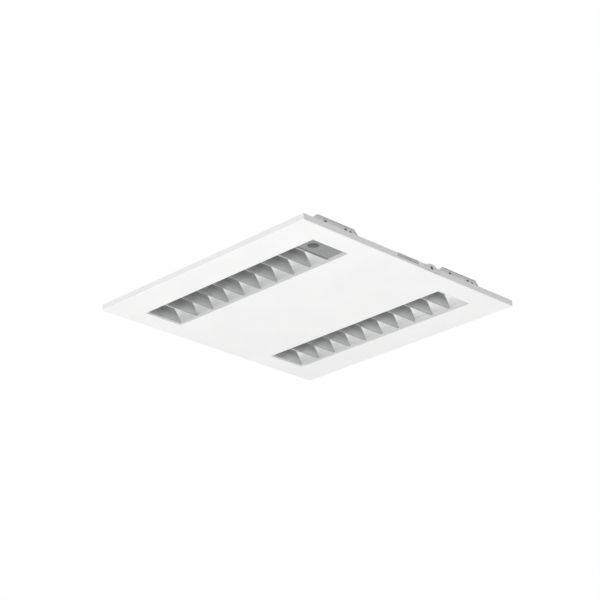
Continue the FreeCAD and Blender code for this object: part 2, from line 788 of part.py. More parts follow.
def make_board_screws():
    screws = new_body("board_screws")
    places = [(side * size.row_offset + size.board_screw_offset, along)
              for side in ROWS.values() for along in board_screw_places]
    heads = [disc(x, y, size.screw_head) for x, y in places]
    shanks = [disc(x, y, size.screw_radius) for x, y in places]
    pad_level(screws, (board_face - size.screw_head_height, board_face), *heads)
    pad_level(screws, (board_face - size.screw_head_height / 2, size.housing_top), *shanks)
    return screws


def make_board_connectors():
    """Plug-in connector under the back end of each LED board, where its lead arrives."""
    connectors = new_body("board_connectors")
    draws = []
    for side in ROWS.values():
        middle = side * (size.row_offset - size.connector_offset)
        draws.append(rectangle(about(middle, size.connector_width),
                               about(connector_along, size.connector_length)))
    pad_level(connectors, (board_face - size.connector_height, board_face), *draws)
    return connectors


# ---------------------------------------------------------------------------- gear plate

plate_under = size.tray_gauge + size.plate_rise
plate_top = plate_under + size.plate_gauge
wiring_ends = about(size.wiring_middle, size.wiring_width)
plate_front = size.plate_inset - panel_half
plate_reach = size.row_offset - housing_half - size.housing_flange - size.plate_side_gap
plate_side = plate_reach - size.plate_foot + size.plate_gauge
plate_back = driver_back + size.plate_overhang
ear_screw_front = driver_front - size.ear_length / 2
ear_screw_back = driver_back + size.ear_length / 2
cable_along = wiring_front + size.cable_back
clamp_along = (-panel_half, plate_front - size.clamp_gap)
clamp_middle = (clamp_along[0] + clamp_along[1]) / 2
box_screw_places = [(size.wiring_middle, wiring_front + size.cable_back),
                    (size.wiring_middle, wiring_back - size.cable_back)]
ear_screw_places = [(way * size.ear_screw_offset, along) for way in (-1, 1)
                    for along in (ear_screw_front, ear_screw_back)]
clamp_screw_places = [(size.clamp_across - size.clamp_screw_offset, clamp_middle),
                      (size.clamp_across + size.clamp_screw_offset, clamp_middle)]


def make_gear_plate():
    """Raised plate welded to the tray between the rows; everything electrical stands on it."""
    plate = new_body("gear_plate")
    section = [
        (plate_side - size.plate_gauge, size.tray_gauge),
        (plate_reach, size.tray_gauge),
        (plate_reach, size.tray_gauge + size.plate_gauge),
        (plate_side, size.tray_gauge + size.plate_gauge),
        (plate_side, plate_top),
    ]
    inner = [(plate_side - size.plate_gauge, plate_under)]
    drawing = new_sketch(plate, "XZ_Plane", -(plate_front + plate_back) / 2)
    draw_loop(drawing, section + mirrored(section) + mirrored(inner) + inner)
    pad(plate, drawing, plate_back - plate_front, both_ways=True)
    holes = [disc(x, y, screw_hole) for x, y in box_screw_places + ear_screw_places]
    pierce_level(plate, plate_top, size.plate_gauge * 4, *holes)
    return plate


def make_gear_screws():
    """Screws of the wiring box and the driver in the gear plate, and of the cable clamp."""
    screws = new_body("gear_screws")
    foot = plate_under - size.screw_head_height / 2
    seats = [(box_screw_places, plate_top + size.wiring_wall),
             (ear_screw_places, plate_top + size.driver_gauge),
             (clamp_screw_places, size.clamp_shoulder)]
    for places, seat in seats:
        pad_level(screws, (foot, seat + size.screw_head_height / 2),
                  *[disc(x, y, size.screw_radius) for x, y in places])
        pad_level(screws, (seat, seat + size.screw_head_height),
                  *[disc(x, y, size.screw_head) for x, y in places])
    return screws


# ---------------------------------------------------------------------------- driver

driver_middle = driver_front + size.driver_length / 2
driver_floor = plate_top + size.driver_gauge
driver_top = plate_top + size.driver_height
driver_half = size.driver_width / 2
driver_board_length = size.driver_length - size.driver_board_inset * 2
driver_ends = about(driver_middle, size.driver_length)
terminal_height = driver_floor + size.driver_terminal_height


def make_driver_case():
    """Lower half of the driver: floor with ears, two end walls, posts for the circuit board."""
    case = new_body("driver_case")
    floor_ends = (driver_front - size.ear_length, driver_back + size.ear_length)
    pad_level(case, (plate_top, driver_floor), rectangle(about(sized(0), size.driver_width), floor_ends))
    wall_half = driver_half - size.driver_gauge - size.driver_gap
    wall_top = driver_top - size.driver_gauge - size.driver_gap
    walls = [rectangle((-wall_half, wall_half), (start, start + size.driver_gauge))
             for start in (driver_front, driver_back - size.driver_gauge)]
    pad_level(case, (plate_top, wall_top), *walls)
    post_across = size.driver_board_width / 2 - size.screw_head
    post_along = driver_board_length / 2 - size.screw_head
    posts = [disc(x, driver_middle + y, size.screw_radius)
             for x in (-post_across, post_across) for y in (-post_along, post_along)]
    pad_level(case, (plate_top, driver_floor + size.driver_board_height), *posts)
    holes = [disc(x, y, screw_hole) for x, y in ear_screw_places]
    pierce_level(case, driver_floor, size.driver_gauge * 4, *holes)
    return case


def make_driver_cover():
    """Folded cover over the driver, standing on the case floor."""
    cover = new_body("driver_cover")
    outer = [(driver_half, driver_floor), (driver_half, driver_top)]
    inner = [(driver_half - size.driver_gauge, driver_floor),
             (driver_half - size.driver_gauge, driver_top - size.driver_gauge)]
    drawing = new_sketch(cover, "XZ_Plane", -driver_middle)
    draw_loop(drawing, outer + mirrored(outer) + mirrored(list(reversed(inner))) + list(reversed(inner)))
    pad(cover, drawing, size.driver_length, both_ways=True)
    return cover


def make_driver_circuit():
    """Circuit board with its transformer, choke and capacitors."""
    circuit = new_body("driver_circuit")
    foot = driver_floor + size.driver_board_height
    top = foot + size.board_gauge
    pad_level(circuit, (foot, top), rectangle(about(sized(0), size.driver_board_width),
                                              about(driver_middle, driver_board_length)))
    ceiling = driver_top - size.driver_gauge - size.driver_gap
    tall = ceiling - size.screw_head_height
    transformer = rectangle(about(sized(0), size.transformer_side),
                            about(driver_middle + size.transformer_along, size.transformer_side))
    choke = rectangle(about(sized(0), size.choke_side),
                      about(driver_middle - size.choke_along, size.choke_side))
    capacitors = [disc(way * size.capacitor_spread, driver_middle - size.capacitor_along,
                       size.capacitor_radius) for way in (-1, 1)]
    pad_level(circuit, (foot, tall), transformer, choke, *capacitors)
    return circuit


def make_driver_terminal(label, way):
    """Push-in terminal on an ear of the driver, with two pockets for the release buttons."""
    end = driver_front if way < 0 else driver_back
    along = (end - size.driver_terminal_depth, end) if way < 0 else (end, end + size.driver_terminal_depth)
    terminal = block_body(label, about(sized(0), size.driver_terminal_width), along,
                          (driver_floor, terminal_height))
    depth = size.button_height - size.button_proud + size.button_travel + size.button_gap
    side = size.button_side + size.button_gap * 2
    middle = (along[0] + along[1]) / 2
    pockets = [rectangle(about(x, side), about(middle, side))
               for x in (-size.button_offset, size.button_offset)]
    pierce_level(terminal, terminal_height, depth * 2, *pockets)
    radius = size.mains_radius if way < 0 else size.lamp_radius
    starts = [sized(0)] if way < 0 else [-size.lamp_start, size.lamp_start]
    mouth = new_sketch(terminal, "XZ_Plane", -(along[0] if way < 0 else along[1]))
    for start in starts:
        draw_circle(mouth, start, size.lead_height, radius + size.thread_gap)
    pocket(terminal, mouth, size.lead_seat * 2)
    return terminal


def make_release_button(label, way, hand):
    end = driver_front if way < 0 else driver_back
    middle = end + way * size.driver_terminal_depth / 2
    foot = terminal_height + size.button_proud - size.button_height
    return block_body(label, about(hand * size.button_offset, size.button_side),
                      about(middle, size.button_side), (foot, foot + size.button_height))


# ---------------------------------------------------------------------------- wiring box

wiring_top = plate_top + size.wiring_height
hinge_along = wiring_back + size.hinge_setback
lid_foot = wiring_top + size.lid_gap
lid_top = lid_foot + size.lid_gauge
grommet_hole = size.cable_radius + size.grommet_wall
mains_hole = size.mains_radius + size.lead_hole_gap
knuckle_left = (wiring_ends[0] + size.wiring_wall, wiring_ends[0] + size.wiring_wall + size.knuckle_span)
knuckle_right = (wiring_ends[1] - size.wiring_wall - size.knuckle_span, wiring_ends[1] - size.wiring_wall)
lid_knuckle = (knuckle_left[1] + size.knuckle_gap, knuckle_right[0] - size.knuckle_gap)


def pad_across(body, x_range, *draws):
    """Pads outlines drawn on a plane facing across, from one place across to another."""
    drawing = new_sketch(body, "YZ_Plane", x_range[0])
    for draw in draws:
        draw(drawing)
    return pad(body, drawing, x_range[1] - x_range[0])


def pierce_across(body, place, depth, *draws):
    drawing = new_sketch(body, "YZ_Plane", place)
    for draw in draws:
        draw(drawing)
    return pocket(body, drawing, depth)


def make_wiring_box():
    """Open moulded box for the supply connection, with hinge knuckles behind it."""
    box = new_body("wiring_box")
    pad_level(box, (plate_top, wiring_top), rectangle(wiring_ends, (wiring_front, wiring_back)))
    web_foot = wiring_top - size.hinge_radius * 2
    web = rectangle((wiring_back - size.wiring_wall / 2, hinge_along), (web_foot, wiring_top))
    for knuckle in (knuckle_left, knuckle_right):
        pad_across(box, knuckle, disc(hinge_along, wiring_top, size.hinge_radius))
        pad_across(box, knuckle, web)
    inner = (wiring_ends[0] + size.wiring_wall, wiring_ends[1] - size.wiring_wall)
    inner_along = (wiring_front + size.wiring_wall, wiring_back - size.wiring_wall)
    floor = plate_top + size.wiring_wall
    pierce_level(box, wiring_top, (wiring_top - floor) * 2, rectangle(inner, inner_along))
    pierce_across(box, size.wiring_middle, size.wiring_width * 2,
                  disc(hinge_along, wiring_top, size.hinge_pin_radius + size.hinge_fit))
    pierce_across(box, wiring_ends[1], size.wiring_wall * 4,
                  disc(cable_along, size.cable_height, grommet_hole))
    back = new_sketch(box, "XZ_Plane", -wiring_back)
    draw_circle(back, 0, size.lead_height, mains_hole)
    pocket(box, back, size.wiring_wall * 4)
    pierce_level(box, plate_top, size.wiring_wall * 4, *[disc(x, y, screw_hole) for x, y in box_screw_places])
    return box


def make_wiring_lid():
    """Lid of the wiring box: plate, front lip and the middle knuckle of the hinge."""
    lid = new_body("wiring_lid")
    lip_front = wiring_front - size.lid_gap - size.lid_lip_gauge
    pad_level(lid, (lid_foot, lid_top), rectangle(wiring_ends, (lip_front, wiring_back)))
    pad_level(lid, (lid_top - size.lid_lip, lid_top),
              rectangle(wiring_ends, (lip_front, lip_front + size.lid_lip_gauge)))
    pad_across(lid, lid_knuckle, disc(hinge_along, wiring_top, size.hinge_radius))
    pad_across(lid, lid_knuckle, rectangle((wiring_back - size.wiring_wall, hinge_along), (lid_foot, lid_top)))
    pierce_across(lid, size.wiring_middle, size.wiring_width * 2,
                  disc(hinge_along, wiring_top, size.hinge_pin_radius + size.hinge_fit))
    return lid


def make_lid_hinge_pin():
    pin = new_body("lid_hinge_pin")
    pad_across(pin, (knuckle_left[0], knuckle_right[1]), disc(hinge_along, wiring_top, size.hinge_pin_radius))
    return pin


# ---------------------------------------------------------------------------- terminal block

POLES = {"live": -1, "earth": 0, "neutral": 1}
block_foot = plate_top + size.wiring_wall
block_top = block_foot + size.block_height
block_front = wiring_front + size.block_inset
block_back = block_front + size.block_depth
lever_along = block_back - size.lever_axis_back
lever_axis_height = block_top - size.lever_axis_down
slot_width = size.pole_pitch - size.pole_web
slot_reach = size.lever_knuckle + size.lever_gap + size.lever_gap


def pole_middle(place):
    return place * size.pole_pitch


def make_terminal_block():
    """Three-pole block with a slot for each lever and one bore for all their trunnions."""
    width = size.pole_pitch * 3 + size.pole_web
    block = block_body("terminal_block", about(sized(0), width), (block_front, block_back),
                       (block_foot, block_top))
    slots = [rectangle(about(pole_middle(place), slot_width),
                       (lever_along - slot_reach, block_back + slot_reach))
             for place in POLES.values()]
    slot_depth = size.lever_axis_down + slot_reach
    pierce_level(block, block_top, slot_depth * 2, *slots)
    pierce_across(block, 0, (size.pole_pitch + size.pole_web) * 3,
                  disc(lever_along, lever_axis_height, size.trunnion_radius + size.hinge_fit))
    mouth = new_sketch(block, "XZ_Plane", -block_back)
    draw_circle(mouth, 0, size.lead_height, size.mains_radius + size.thread_gap)
    pocket(block, mouth, size.lead_seat * 2)
    return block


def make_terminal_lever(pole, place):
    """Clamp lever lying on the block, with its knuckle and trunnions in the slot."""
    lever = new_body("terminal_lever_" + pole)
    middle = pole_middle(place)
    width = slot_width - size.lever_gap * 2
    lever_foot = block_top + size.lever_gap
    tip = lever_along - size.lever_reach
    pad_level(lever, (lever_foot, lever_foot + size.lever_gauge),
              rectangle(about(middle, width), (tip, lever_along)))
    span = about(middle, width)
    pad_across(lever, span, disc(lever_along, lever_axis_height, size.lever_knuckle))
    pad_across(lever, span, rectangle((lever_along - size.lever_knuckle, lever_along),
                                      (lever_axis_height, lever_foot + size.lever_gauge / 2)))
    pad_across(lever, about(middle, slot_width + size.trunnion_reach * 2),
               disc(lever_along, lever_axis_height, size.trunnion_radius))
    return lever


# ---------------------------------------------------------------------------- cable clamp

clamp_ends = about(size.clamp_across, size.clamp_width)
wing_ends = about(size.clamp_across, size.clamp_width + size.clamp_wing * 2)
wing_front = size.clamp_gap - hem_inner / 2


def pierce_clamp(clamp):
    """Cuts the bore for the cable and the two screw holes."""
    drawing = new_sketch(clamp, "XZ_Plane", -clamp_middle)
    draw_circle(drawing, size.clamp_across, size.clamp_axis, size.cable_radius)
    pocket(clamp, drawing, (clamp_along[1] - clamp_along[0]) * 2)
    pierce_level(clamp, size.clamp_axis, size.clamp_shoulder * 4,
                 *[disc(x, y, screw_hole) for x, y in clamp_screw_places])


def make_clamp_base():
    """Lower half of the cable clamp: it fills the notch in the return, with wings behind it."""
    base = block_body("cable_clamp_base", clamp_ends, (wing_front, clamp_along[1]),
                      (size.tray_gauge, size.clamp_axis))
    pad_level(base, (size.notch_foot + size.clamp_gap, size.clamp_axis),
              rectangle(clamp_ends, (clamp_along[0], wing_front)))
    pad_level(base, (size.tray_gauge, size.clamp_axis),
              rectangle(wing_ends, (wing_front, wing_front + size.clamp_wing_gauge)))
    pierce_clamp(base)
    return base


def make_clamp_saddle():
    """Upper half of the clamp: two shoulders for the screws and a round crown over the cable."""
    saddle = new_body("cable_clamp_saddle")
    foot = size.clamp_axis + size.clamp_split
    crown = about(size.clamp_across, size.clamp_crown_width)
    section = [
        (clamp_ends[0], foot),
        (clamp_ends[1], foot),
        (clamp_ends[1], size.clamp_shoulder),
        (crown[1], size.clamp_shoulder),
        (crown[0], size.clamp_shoulder),
        (clamp_ends[0], size.clamp_shoulder),
    ]
    drawing = new_sketch(saddle, "XZ_Plane", -clamp_middle)
    draw_loop(drawing, section, {3: (size.clamp_crown_radius, 1)})
    pad(saddle, drawing, clamp_along[1] - clamp_along[0], both_ways=True)
    pierce_clamp(saddle)
    return saddle


# ---------------------------------------------------------------------------- earth stud

earth_across = wiring_ends[1] + size.earth_distance
earth_along = wiring_back - size.earth_inset


def make_earth_stud():
    """Threaded stud welded to the gear plate, with its nut."""
    stud = new_body("earth_stud")
    pad_level(stud, (plate_top, plate_top + size.earth_height),
              disc(earth_across, earth_along, size.earth_radius))
    nut_foot = plate_top + size.nut_height
    corners = []
    for step in range(6):
        angle = math.radians(60 * step)
        corners.append((earth_across + size.nut_radius * round(math.cos(angle), 6),
                        earth_along + size.nut_radius * round(math.sin(angle), 6)))
    pad_level(stud, (nut_foot, nut_foot + size.nut_height), lambda drawing: draw_loop(drawing, corners))
    pad_level(stud, (plate_top, plate_top + size.plate_gauge),
              disc(earth_across, earth_along, size.nut_radius))
    return stud


# ---------------------------------------------------------------------------- leads


def lead_path(points):
    """Wire of straight runs joined by tangent arcs, each as large as its runs allow."""
    points = [FreeCAD.Vector(*[sized(value).number for value in point]) for point in points]
    edges = []
    start = points[0]
    for before, corner, after in zip(points, points[1:], points[2:]):
        arriving = corner - before
        leaving = after - corner
        setback = 0.45 * min(arriving.Length, leaving.Length)
        turn = arriving.getAngle(leaving)
        arc_start = corner - arriving.normalize() * setback
        arc_end = corner + leaving.normalize() * setback
        radius = setback / math.tan(turn / 2)
        towards = (arc_start + arc_end) / 2 - corner
        depth = math.hypot(radius, setback) - radius
        middle = corner + towards.normalize() * depth
        edges.append(Part.LineSegment(start, arc_start).toShape())
        edges.append(Part.Arc(arc_start, middle, arc_end).toShape())
        start = arc_end
    edges.append(Part.LineSegment(start, points[-1]).toShape())
    return Part.Wire(edges)


def lead_solid(points, radius):
    path = lead_path(points)
    direction = path.Edges[0].tangentAt(path.Edges[0].FirstParameter)
    ring = Part.Circle(path.Edges[0].Vertexes[0].Point, direction, radius.number)
    tube = path.makePipeShell([Part.Wire(ring.toShape())], True, False)
    section = math.pi * radius.number ** 2
    print("lead volume over section times length:", round(tube.Volume / (section * path.Length), 4))
    return tube


def lead_feature(label, solids):
    lead = doc.addObject("Part::Feature", label)
    lead.Label = label
    lead.Shape = solids[0] if len(solids) == 1 else Part.makeCompound(solids)
    return lead


def make_mains_lead():
    """Lead from the terminal block, through the back of the wiring box, to the driver."""
    start = block_back - size.lead_seat
    end = driver_front - size.driver_terminal_depth + size.lead_seat
    points = [(0, start, size.lead_height), (0, end, size.lead_height)]
    return lead_feature("mains_lead", [lead_solid(points, size.mains_radius)])


def lamp_points(side):
    """Route of a lamp lead: out of the driver, across the gear plate, up and into the housing."""
    start = driver_back + size.driver_terminal_depth - size.lead_seat
    turn = lamp_turn
    wall = size.row_offset - housing_half
    foot = plate_side - size.plate_foot
    plug_foot = board_face - size.connector_height
    plug = size.row_offset - size.connector_offset
    plug_start = connector_along - size.connector_length / 2
    over = plug_foot + size.connector_height / 2
    route = [
        (size.lamp_start, start, size.lead_height),
        (size.lamp_start, turn, size.lead_height),
        (foot, turn, size.lead_height),
        (foot, turn, size.lamp_entry_height),
        (wall + (plug - wall) / 2, turn, size.lamp_entry_height),
        (plug, turn + size.connector_length, over),
        (plug, plug_start, over),
    ]
    return [(side * x, y, z) for x, y, z in route]


def make_lamp_leads():
    solids = [lead_solid(lamp_points(side), size.lamp_radius) for side in ROWS.values()]
    return lead_feature("lamp_leads", solids)


def make_lead_clips():
    """Clips stuck to the gear plate round the lamp leads."""
    clips = new_body("lead_clips")
    top = size.lead_height + size.lamp_radius * 2
    draws = []
    for side in ROWS.values():
        draws.append(rectangle(about(side * size.saddle_across, size.saddle_width),
                               about(lamp_turn, size.saddle_width)))
    pad_level(clips, (plate_top, top), *draws)
    pierce_across(clips, 0, plate_side * 2,
                  disc(lamp_turn, size.lead_height, size.lamp_radius + size.thread_gap))
    return clips


def grommet_across(body, wall_range, along, height, bore):
    """Flanged ring through a wall that faces across."""
    core = bore + size.grommet_wall - size.thread_gap
    flange = bore + size.grommet_wall + size.grommet_flange
    low = wall_range[0] - size.grommet_face
    high = wall_range[1] + size.grommet_face
    pad_across(body, (low, high), disc(along, height, core))
    pad_across(body, (low, wall_range[0]), disc(along, height, flange))
    pad_across(body, (wall_range[1], high), disc(along, height, flange))
    pierce_across(body, wall_range[0], (wall_range[1] - wall_range[0] + size.grommet_face) * 3,
                  disc(along, height, bore))


def make_lamp_grommets():
    grommets = new_body("lamp_grommets")
    for side in ROWS.values():
        outer = side * (size.row_offset - housing_half)
        inner = side * (size.row_offset - housing_half + size.housing_gauge)
        wall = (outer, inner) if side > 0 else (inner, outer)
        grommet_across(grommets, wall, lamp_turn, size.lamp_entry_height,
                       size.lamp_radius + size.thread_gap)
    return grommets


def make_cable_grommet():
    """Grommet in the side of the wiring box, where the supply cable enters."""
    grommet = new_body("cable_grommet")
    wall = (wiring_ends[1] - size.wiring_wall, wiring_ends[1])
    grommet_across(grommet, wall, cable_along, size.cable_height, size.cable_radius)
    return grommet


# ---------------------------------------------------------------------------- grid clips

grid_axis = panel_half - size.grid_axis_inset
grid_station = panel_half - size.grid_inset
grid_pin_hole = size.grid_pin_radius + size.hinge_fit
grid_bracket_width = size.grid_width + size.grid_ear_gap * 2 + size.grid_ear_gauge * 2


def make_grid_clip(label, side, way):
    """Folding clip that lies flat over the tray and stands up against the ceiling grid."""
    clip = new_body(label, along=way * grid_station)
    half = size.grid_gauge / 2
    level = size.grid_axis_height
    tip = grid_axis - size.grid_reach
    corners = [
        (grid_axis, level - half),
        (grid_axis, level + half),
        (tip + size.grid_gauge, level + half),
        (tip + size.grid_gauge, level + size.grid_hook),
        (tip, level + size.grid_hook),
        (tip, level - half),
    ]
    drawing = new_sketch(clip, "XZ_Plane")
    draw_loop(drawing, [(side * x, z) for x, z in corners])
    pad(clip, drawing, size.grid_width, both_ways=True)
    knuckle = new_sketch(clip, "XZ_Plane")
    draw_circle(knuckle, side * grid_axis, level, size.grid_knuckle)
    pad(clip, knuckle, size.grid_width, both_ways=True)
    bore = new_sketch(clip, "XZ_Plane")
    draw_circle(bore, side * grid_axis, level, grid_pin_hole)
    pocket(clip, bore, size.grid_width * 2)
    return clip


def make_clip_brackets():
    """Bracket with two ears under each grid clip, welded to the tray."""
    brackets = new_body("clip_brackets")
    reach = size.grid_knuckle + size.grid_ear_gauge
    feet = []
    ears = []
    for side in ROWS.values():
        across = about(side * grid_axis, reach * 2)
        for way in ENDS.values():
            middle = way * grid_station
            feet.append(rectangle(across, about(middle, grid_bracket_width)))
            for hand in (-1, 1):
                outer = middle + hand * (grid_bracket_width / 2 - size.grid_ear_gauge / 2)
                ears.append(rectangle(across, about(outer, size.grid_ear_gauge)))
    pad_level(brackets, (size.tray_gauge, size.tray_gauge + size.grid_ear_gauge), *feet)
    pad_level(brackets, (size.tray_gauge, size.grid_ear_top), *ears)
    bores = new_sketch(brackets, "XZ_Plane")
    for side in ROWS.values():
        draw_circle(bores, side * grid_axis, size.grid_axis_height, grid_pin_hole)
    pocket(brackets, bores, size.panel_side)
    return brackets


def make_clip_pins():
    pins = new_body("clip_pins")
    for way in ENDS.values():
        drawing = new_sketch(pins, "XZ_Plane", -way * grid_station)
        for side in ROWS.values():
            draw_circle(drawing, side * grid_axis, size.grid_axis_height, size.grid_pin_radius)
        pad(pins, drawing, grid_bracket_width, both_ways=True)
    return pins


# ---------------------------------------------------------------------------- hangers

hanger_across = panel_half - size.hanger_inset_across
hanger_along = panel_half - size.hanger_inset_along


def make_suspension_brackets():
    """Folded bracket near each corner, with a hole in its raised tongue for a hanging wire."""
    hangers = new_body("suspension_brackets")
    riser = hanger_across - size.hanger_tongue / 2
    tongue_foot = size.hanger_rise - size.hanger_gauge
    foot_top = size.tray_gauge + size.hanger_gauge
    section = [
        (riser - size.hanger_foot, size.tray_gauge),
        (riser, size.tray_gauge),
        (riser, tongue_foot),
        (riser + size.hanger_tongue, tongue_foot),
        (riser + size.hanger_tongue, size.hanger_rise),
        (riser - size.hanger_gauge, size.hanger_rise),
        (riser - size.hanger_gauge, foot_top),
        (riser - size.hanger_foot, foot_top),
    ]
    holes = []
    for way in ENDS.values():
        drawing = new_sketch(hangers, "XZ_Plane", -way * hanger_along)
        for side in ROWS.values():
            draw_loop(drawing, [(side * x, z) for x, z in section])
            holes.append(disc(side * hanger_across, way * hanger_along, size.hanger_hole))
        pad(hangers, drawing, size.hanger_width, both_ways=True)
    pierce_level(hangers, size.hanger_rise, size.hanger_gauge * 4, *holes)
    return hangers


# ---------------------------------------------------------------------------- sensor

sensor_foot = size.lip_top + size.sensor_set
sensor_top = sensor_foot + size.sensor_gauge
sensor_cell_front = -(opening_end - size.reflector_inset)
sensor_cell_back = -blade_reach - size.blade_foot / 2
sensor_along = (sensor_cell_front + sensor_cell_back) / 2
plate_middle = -size.row_offset
sensor_across = plate_middle - size.sensor_shift


def make_sensor_plate():
    """Moulded plate closing the front cell of the left row, with the sensor housing above it."""
    plate = new_body("sensor_plate")
    half = trough_foot - size.sensor_gap - size.sensor_gauge - size.sensor_set
    ends = (sensor_cell_front + size.sensor_gap, sensor_cell_back - size.sensor_gap)
    pad_level(plate, (sensor_foot, sensor_top), rectangle((plate_middle - half, plate_middle + half), ends))
    pad_level(plate, (sensor_foot, sensor_top + size.sensor_height),
              disc(sensor_across, sensor_along, size.sensor_radius))
    pierce_level(plate, sensor_foot, size.sensor_gauge * 2,
                 disc(sensor_across, sensor_along, size.sensor_window + size.thread_gap))
    return plate


def make_sensor_lens():
    """Shallow domed lens in the middle of the sensor plate."""
    lens = doc.addObject("Part::Feature", "sensor_lens")
    lens.Label = "sensor_lens"
    window = size.sensor_window.number
    dome = size.sensor_dome.number
    radius = (window * window + dome * dome) / (2 * dome)
    stem = size.sensor_gauge.number
    middle = FreeCAD.Vector(0, 0, 0)
    centre = FreeCAD.Vector(0, 0, radius - dome)
    ball = Part.makeSphere(radius, centre)
    disc_below = Part.makeCylinder(window, dome, FreeCAD.Vector(0, 0, -dome))
    stem_solid = Part.makeCylinder(window, stem, middle)
    lens.Shape = ball.common(disc_below).fuse(stem_solid).removeSplitter()
    lens.Placement.Base = FreeCAD.Vector(sensor_across.number, sensor_along.number, sensor_foot.number)
    return lens


# ---------------------------------------------------------------------------- the assembly

nodes = [make_face_tray()]
for row, side in ROWS.items():
    nodes.append(make_housing(row, side))
    for end, way in ENDS.items():
        nodes.append(make_end_cap(row, side, end, way))
    for flank, way in (("outer", side), ("inner", -side)):
        nodes.append(make_side_reflector(row, side, flank, way))
    nodes.append(make_end_reflectors(row, side))
    nodes.append(make_cross_blades(row, side))
    nodes.append(make_lens_strip(row, side))
    nodes.append(make_led_board(row, side))
nodes.append(make_end_cap_screws())
nodes.append(make_lens_brackets())
nodes.append(make_reflector_clips())
nodes.append(make_led_chips())
nodes.append(make_board_screws())
nodes.append(make_board_connectors())
nodes.append(make_gear_plate())
nodes.append(make_gear_screws())
nodes.append(make_driver_case())
nodes.append(make_driver_cover())
nodes.append(make_driver_circuit())
for label, way in (("input", -1), ("output", 1)):
    nodes.append(make_driver_terminal("driver_" + label + "_terminal", way))
    for hand_name, hand in (("left", -1), ("right", 1)):
        nodes.append(make_release_button(label + "_button_" + hand_name, way, hand))
nodes.append(make_wiring_box())
nodes.append(make_wiring_lid())
nodes.append(make_lid_hinge_pin())
nodes.append(make_terminal_block())
for pole, place in POLES.items():
    nodes.append(make_terminal_lever(pole, place))
nodes.append(make_clamp_base())
nodes.append(make_clamp_saddle())
nodes.append(make_earth_stud())
nodes.append(make_mains_lead())
nodes.append(make_lamp_leads())
nodes.append(make_lead_clips())
nodes.append(make_lamp_grommets())
nodes.append(make_cable_grommet())
for row, side in ROWS.items():
    for end, way in ENDS.items():
        nodes.append(make_grid_clip("grid_clip_" + end + "_" + row, side, way))
nodes.append(make_clip_brackets())
nodes.append(make_clip_pins())
nodes.append(make_suspension_brackets())
nodes.append(make_sensor_plate())
nodes.append(make_sensor_lens())

doc.recompute()
for item in doc.Objects:
    faults = [word for word in item.State if word in ("Invalid", "Error")]
    if faults:
        raise RuntimeError(f"{item.Label} did not build: {faults}")
for node in nodes:
    if node.Shape.isNull() or not node.Shape.isValid() or not node.Shape.Solids:
        raise RuntimeError(f"{node.Label} has no sound shape")

os.makedirs("parts", exist_ok=True)
for node in nodes:
    node.Shape.exportStep(f"parts/{node.Label}.step")
    box = node.Shape.BoundBox
    print(f"{node.Label:32s} solids {len(node.Shape.Solids):3d}  volume {node.Shape.Volume:10.1f}"
          f"  x {box.XMin:8.2f} {box.XMax:8.2f}  y {box.YMin:8.2f} {box.YMax:8.2f}"
          f"  z {box.ZMin:6.2f} {box.ZMax:6.2f}")
print(len(nodes), "nodes")
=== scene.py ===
import math

import bmesh
import bpy
from mathutils import Matrix, Vector


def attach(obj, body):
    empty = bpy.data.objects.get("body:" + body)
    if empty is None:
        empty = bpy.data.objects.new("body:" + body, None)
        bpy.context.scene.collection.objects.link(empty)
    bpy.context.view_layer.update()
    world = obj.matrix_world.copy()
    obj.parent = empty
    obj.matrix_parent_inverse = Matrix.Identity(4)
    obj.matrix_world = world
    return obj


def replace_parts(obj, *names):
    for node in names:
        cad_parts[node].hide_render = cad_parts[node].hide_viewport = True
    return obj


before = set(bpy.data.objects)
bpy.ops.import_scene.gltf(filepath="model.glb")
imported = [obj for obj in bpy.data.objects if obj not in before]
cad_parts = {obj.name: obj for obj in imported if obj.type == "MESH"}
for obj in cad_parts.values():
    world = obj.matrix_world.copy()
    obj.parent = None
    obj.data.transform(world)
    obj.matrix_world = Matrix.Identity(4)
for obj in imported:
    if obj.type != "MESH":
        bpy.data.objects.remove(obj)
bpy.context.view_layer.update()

# ------------------------------------------------------------------ face tray
# One sheet of 0.8 mm steel, folded up round its rim and round the two long openings, with the
# rim hemmed inwards. It is powder coated semi-matt white after folding, so the coat covers
# every edge and shows a fine orange peel from near.

MM = 0.001


def finish(name, dark, light, patch, roughness, metallic=0.0, stretch=(1, 1, 1)):
    """Material whose colour and gloss drift between two values over patches of this size."""
    made = bpy.data.materials.new(name)
    made.use_nodes = True
    tree = made.node_tree
    shader = tree.nodes["Principled BSDF"]
    shader.inputs["Metallic"].default_value = metallic
    place = tree.nodes.new("ShaderNodeTexCoord")
    spread = tree.nodes.new("ShaderNodeMapping")
    spread.inputs["Scale"].default_value = stretch
    tree.links.new(place.outputs["Object"], spread.inputs["Vector"])
    drift = tree.nodes.new("ShaderNodeTexNoise")
    drift.inputs["Scale"].default_value = 1 / (patch * MM)
    drift.inputs["Detail"].default_value = 5.0
    tree.links.new(spread.outputs["Vector"], drift.inputs["Vector"])
    tint = tree.nodes.new("ShaderNodeValToRGB")
    tint.name = "Tint"
    tint.color_ramp.elements[0].position = 0.32
    tint.color_ramp.elements[0].color = (*dark, 1)
    tint.color_ramp.elements[1].position = 0.68
    tint.color_ramp.elements[1].color = (*light, 1)
    tree.links.new(drift.outputs["Fac"], tint.inputs["Fac"])
    tree.links.new(tint.outputs["Color"], shader.inputs["Base Color"])
    gloss = tree.nodes.new("ShaderNodeMapRange")
    gloss.inputs["From Min"].default_value = 0.3
    gloss.inputs["From Max"].default_value = 0.7
    gloss.inputs["To Min"].default_value = roughness[0]
    gloss.inputs["To Max"].default_value = roughness[1]
    tree.links.new(drift.outputs["Fac"], gloss.inputs["Value"])
    tree.links.new(gloss.outputs["Result"], shader.inputs["Roughness"])
    return made


